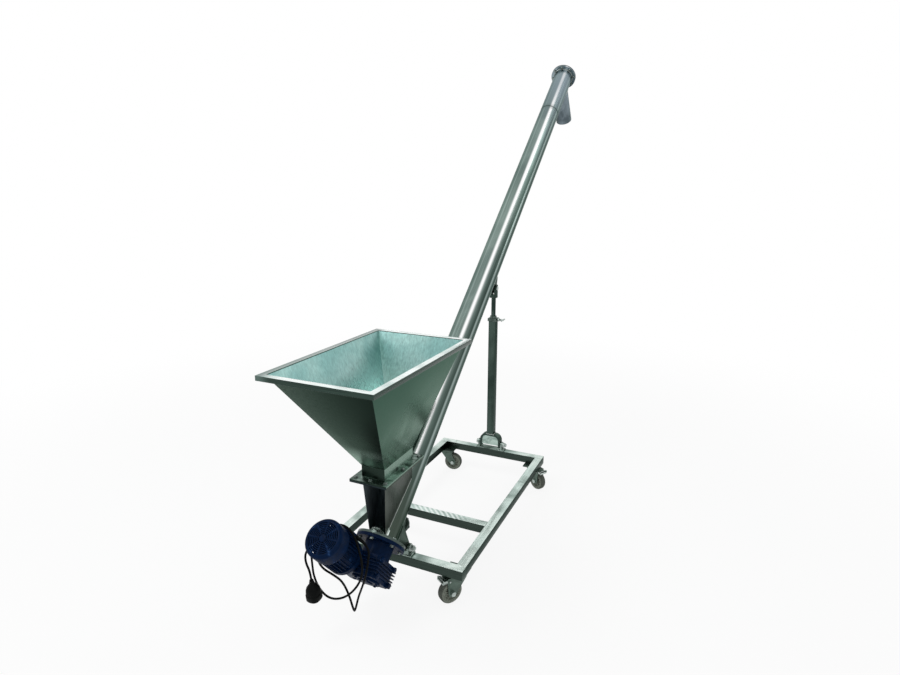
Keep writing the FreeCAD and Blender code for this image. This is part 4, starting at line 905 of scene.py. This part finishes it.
# the fan's cover; its slots are arcs, each between two radii
cowl = {"radius": 72.8, "skirt": [222.3, 226.0, 240.0, 258.0], "corner": 13.0, "cornerSteps": 7,
        "top": 287.7, "wall": 1.6,
        "columns": 96, "ribEvery": 12, "ribWide": 2,
        "slots": [(57.0, 54.2), (50.4, 47.6), (43.8, 41.0), (37.2, 34.4), (30.6, 27.8), (24.0, 21.2),
                  (17.4, 14.6)],
        "centre": [7.0, 2.0]}


def makeCowl(spec):
    # a skirt, a quarter-round shoulder and a flat end, turned about the motor's axis; the end is cut
    # by rings of arc slots, left out of the grid between the radial ribs
    bend = np.linspace(0.0, math.pi / 2, spec["cornerSteps"])
    radius, top, corner, columns = spec["radius"], spec["top"], spec["corner"], spec["columns"]
    rows = [(radius, height) for height in spec["skirt"]]
    rows += [(radius + corner * (math.cos(b) - 1), top + corner * (math.sin(b) - 1)) for b in bend]
    first = len(rows)
    rows += [(edge, top) for edge in [*np.ravel(spec["slots"]), *spec["centre"]]]
    points, faces = roundProfile(rows, columns)
    row, column = faces[0][:, 0] // columns, faces[0][:, 0] % columns
    slotRow = (row >= first) & (row < first + 2 * len(spec["slots"])) & ((row - first) % 2 == 0)
    cutOut = slotRow & (column % spec["ribEvery"] >= spec["ribWide"])
    faces = [faces[0][~cutOut], faces[2]]                # no cap at the open skirt
    fanCowl = meshPiece("fanCowl", *placedAt((points, faces), motorStart, axisOut, acrossX), (blueEnamel,),
                        "conveyor", "blue_paint", ("fan_cover",))
    thicken(fanCowl, spec["wall"])


makeCowl(cowl)
print("fan cover made")

weld = {
    "bead": 2.6, "step": 0.8, "ripple": 2.4, "swell": 0.10, "columns": 8, "fewest": 6,
    # along the tube: the flanges' rings, and the pipes under it with their radii
    "rings": [11.0, 3261.0], "ringRadius": 61.0, "pipes": [(3142.0, 53.0), (113.0, 31.0)],
    # the inlet's side wall: its seam along the tube, and its half widths at the axis and 285 mm up
    "seam": np.linspace(20.0, 262.0, 120), "wallLow": 33.0, "wallTop": 50.0, "wallHigh": 285.0,
    # the middle rail's ends and the post's foot, in metres
    "railEnd": 0.270, "railHalf": 0.0205, "rail": np.linspace(0.133, 0.168, 8), "postHalf": 0.0208,
    "postFoot": 0.2625,
}


def bead(path, spec, closed=False):
    # evenly spaced along the path; the radius swells and narrows once for each drop of weld
    loop = np.concatenate([path, path[:1]]) if closed else path
    total = lengthsAlong(loop)[-1]
    count = max(spec["fewest"], int(total / (spec["step"] * millimetre)))
    at = np.linspace(0.0, total, count, endpoint=not closed)
    swell = 1.0 + spec["swell"] * np.sin(2 * math.pi * at / (spec["ripple"] * millimetre))
    return carriedCircle(pointsAt(loop, at), spec["bead"] * millimetre * swell, spec["columns"], closed)


def makeWelds(spec):
    turn = ringAngles(180)

    def ring(station, radius):
        around = np.broadcast_arrays(radius * np.cos(turn), radius * np.sin(turn), station)
        return conveyorPoints(np.column_stack(around))

    def saddle(station, radius):
        # where a pipe under the tube meets it: out = the tube's surface under each x
        x = radius * np.cos(turn)
        out = -np.sqrt(tubeRadius ** 2 - x ** 2)
        return conveyorPoints(np.column_stack([x, out, station + radius * np.sin(turn)]))

    def seam(side):
        # where the inlet's side wall, which leans in towards the bottom, meets the tube: its half
        # width grows with the height over the axis, and eight rounds settle both
        station = spec["seam"]
        half = np.full(len(station), spec["wallLow"])
        for _ in range(8):
            out = np.sqrt(tubeRadius ** 2 - half ** 2)
            height = math.sin(incline) * station + math.cos(incline) * out
            half = spec["wallLow"] + (spec["wallTop"] - spec["wallLow"]) * height / spec["wallHigh"]
        return conveyorPoints(np.column_stack([side * half, out, station]))

    beads = [bead(ring(station, spec["ringRadius"]), spec, True) for station in spec["rings"]]
    beads += [bead(saddle(*pipe), spec, True) for pipe in spec["pipes"]]
    beads += [bead(seam(1.0), spec), bead(seam(-1.0), spec)]
    meshPiece("tubeWelds", *joined(*beads), (weldSteel,), "conveyor", "stainless")
    uprights = [np.broadcast_arrays(side * spec["railEnd"], middleRailY + offset, spec["rail"])
                for side in (-1, 1) for offset in (-spec["railHalf"], spec["railHalf"])]
    beads = [bead(np.column_stack(upright), spec) for upright in uprights]
    meshPiece("frameWelds", *joined(*beads), (weldSteel,), "frame", "stainless")
    corners = np.array([(-1, -1, 0), (1, -1, 0), (1, 1, 0), (-1, 1, 0)]) * spec["postHalf"]
    foot = corners + (0.0, postMiddleY, spec["postFoot"])
    meshPiece("postWeld", *bead(foot, spec, True), (weldSteel,), "post", "stainless")


makeWelds(weld)
foot = {"half": 42.0, "slopeTo": 27.0, "fade": 14.0, "coat": 1.5, "rise": 38.0, "from": 10.0, "wall": 53.0,
        "rim": 0.25, "power": 0.7, "proud": 0.2, "sunk": 1.5, "rows": 24, "columns": 61}


def makeFoot(spec):
    # ground weld on the top of the tube's end: it rises from the end plate to the inlet's front wall,
    # which is upright, so the station where a point meets the wall grows with its height over the
    # tube by the tangent of the incline; the rise fades towards the wall's edges
    along, across = np.meshgrid(np.linspace(0, 1, spec["rows"]), np.linspace(-1, 1, spec["columns"]),
                                indexing="ij")
    x = spec["half"] * across
    tube = np.sqrt(tubeRadius ** 2 - x ** 2)
    beside = np.clip((np.abs(x) - spec["slopeTo"]) / spec["fade"], 0, 1)
    beside = beside ** 2 * (3 - 2 * beside)
    rim = np.clip((1 - np.abs(across)) / spec["rim"], 0, 1)
    lift = (spec["coat"] + spec["rise"] * (1 - beside)) * rim
    out = tube + lift * along ** spec["power"] + spec["proud"]
    wall = spec["wall"] + (tube + lift - tubeRadius) * math.tan(incline)
    station = spec["from"] + (wall - spec["from"]) * along
    # top and underside, joined round the edge of the patch
    under = tube - spec["sunk"]
    points = conveyorPoints(np.stack([np.stack([x, height, station], -1) for height in (out, under)]))
    upper = gridFaces(*x.shape)
    index = np.arange(x.size).reshape(x.shape)
    edge = np.concatenate([index[0, :-1], index[:-1, -1], index[-1, :0:-1], index[:0:-1, 0]])
    nextEdge = np.roll(edge, -1)
    around = np.column_stack([edge, nextEdge, nextEdge + x.size, edge + x.size])
    meshPiece("inletFoot", points.reshape(-1, 3), [upper[:, ::-1], upper + x.size, around], (footSteel,),
              "conveyor", "stainless")


makeFoot(foot)
print("welds made")

lead = {
    "diameter": 0.008,
    "length": 1.582,
    # corners in the motor's frame, in metres: across, along the screw's axis, along the motor
    "route": [(0.0672, 0.0576, 0.158), (0.1174, 0.0441, 0.158), (0.127, -0.015, 0.136),
              (0.116, -0.055, 0.095), (0.092, -0.084, 0.045), (0.064, -0.106, -0.010),
              (0.077, -0.154, -0.001), (0.095, -0.161, 0.045), (0.068, -0.119, 0.075),
              (0.042, -0.089, 0.111), (0.011, -0.081, 0.135), (-0.039, -0.073, 0.155),
              (-0.076, -0.035, 0.170), (-0.082, 0.017, 0.182), (-0.054, 0.064, 0.196), (0.0, 0.084, 0.207),
              (0.053, 0.068, 0.207), (0.095, 0.024, 0.196), (0.129, -0.030, 0.171), (0.127, -0.072, 0.140),
              (0.093, -0.113, 0.103), (0.048, -0.141, 0.078), (-0.003, -0.152, 0.069),
              (-0.050, -0.136, 0.080), (-0.089, -0.100, 0.095), (-0.109, -0.064, 0.107),
              (-0.108, -0.038, 0.143), (-0.105, -0.027, 0.184), (-0.084, -0.059, 0.218),
              (-0.062, -0.086, 0.221), (-0.048, -0.102, 0.201), (-0.047, -0.124, 0.168)],
}


def makeLead(spec):
    corners = motorPoints(np.array(spec["route"]) / millimetre)
    curve = bpy.data.curves.new("powerLead", "CURVE")
    curve.dimensions = "3D"
    curve.bevel_depth = spec["diameter"] / 2
    curve.bevel_resolution = 5
    curve.resolution_u = 12
    curve.use_fill_caps = True
    spline = curve.splines.new("NURBS")
    spline.points.add(len(corners) - 1)
    for point, corner in zip(spline.points, corners):
        point.co = (*corner, 1.0)
    spline.order_u = 3
    spline.use_endpoint_u = True
    curve.materials.append(rubberSheath)
    obj = newObject("powerLead", curve)
    settle(obj, "conveyor", ("power_cord",))
    return obj, corners


powerLead, leadCorners = makeLead(lead)
plug = {
    "from": (-47.0, -124.0, 168.0), "towards": (1.0, -22.0, -33.0), "columns": 48,
    # radius, height and squareness of the body's section: 2 is round
    "body": [(4.3, 0.0, 2.0), (7.4, 0.6, 2.0), (8.2, 6.0, 2.0), (9.4, 9.0, 2.0), (9.8, 14.0, 2.0),
             (11.0, 18.0, 2.0), (16.5, 24.0, 2.2), (21.5, 31.0, 2.4), (24.4, 40.0, 2.5), (25.6, 52.0, 2.6),
             (25.6, 58.0, 2.6), (27.4, 60.0, 2.6), (27.4, 80.0, 2.6), (26.6, 81.6, 2.6), (24.2, 81.6, 2.5),
             (23.6, 80.6, 2.5), (23.6, 56.0, 2.5)],
    "pins": 4, "pinRing": 13.0, "pinFirst": 45.0, "pinColumns": 20,
    "pin": [(3.0, 55.0), (3.0, 76.0), (2.2, 77.4)],
}
relief = {"long": 34.0, "from": 7.4, "to": 4.7, "pitch": 4.2, "groove": 0.55, "plain": 0.1, "columns": 28,
          "steps": 90}


def makePlug(spec):
    # the body's section is a superellipse: r(a) = R / (|cos a|^n + |sin a|^n)^(1/n)
    axis = unit(np.array(spec["towards"])) @ np.stack([acrossX, axisAlong, axisOut])
    side = unit(acrossX - axis * axis[0])
    place = (motorPoints(spec["from"]), axis, side)
    section = np.array(spec["body"])
    angles, power = ringAngles(spec["columns"]), section[:, 2:]
    squared = (np.abs(np.cos(angles)) ** power + np.abs(np.sin(angles)) ** power) ** (-1.0 / power)
    body = turnedSurface(section[:, :1] * squared, section[:, 1:2], spec["columns"])
    bodyPiece = meshPiece("plugBody", *placedAt(body, *place), (blackPlastic,), "conveyor", "black_plastic",
                          ("power_plug",))
    points, faces = roundProfile(spec["pin"], spec["pinColumns"])
    spots = ringSpots(spec["pins"], spec["pinRing"], spec["pinFirst"])
    pins = [(points + (x, y, 0.0), faces) for x, y in spots]
    pinPiece = meshPiece("plugPins", *placedAt(joined(*pins), *place), (shaftSteel,), "conveyor",
                         "bare_steel")
    return [bodyPiece, pinPiece]


def makeRelief(spec):
    # tapered rubber sleeve with grooves, carried along the lead's own line from where it leaves
    line = powerLead.data.copy()
    line.bevel_depth = 0.0
    carrier = newObject("leadLine", line)
    bpy.context.view_layer.update()
    read = bpy.data.meshes.new_from_object(carrier)
    path = readArray(read.vertices, "co")
    bpy.data.objects.remove(carrier)
    bpy.data.meshes.remove(read)
    bpy.data.curves.remove(line)
    at = np.linspace(0.0, spec["long"] * millimetre, spec["steps"])
    share = at / at[-1]
    wave = 0.5 + 0.5 * np.cos(2 * math.pi * at / (spec["pitch"] * millimetre))
    groove = spec["groove"] * wave * (share > spec["plain"])
    radii = (spec["from"] + (spec["to"] - spec["from"]) * share - groove) * millimetre
    sleeve = carriedCircle(pointsAt(path, at), radii, spec["columns"])
    return meshPiece("leadRelief", *sleeve, (rubberSheath,), "conveyor", "cord_rubber")


plugPieces = makePlug(plug) + [makeRelief(relief)]
print("power lead made")
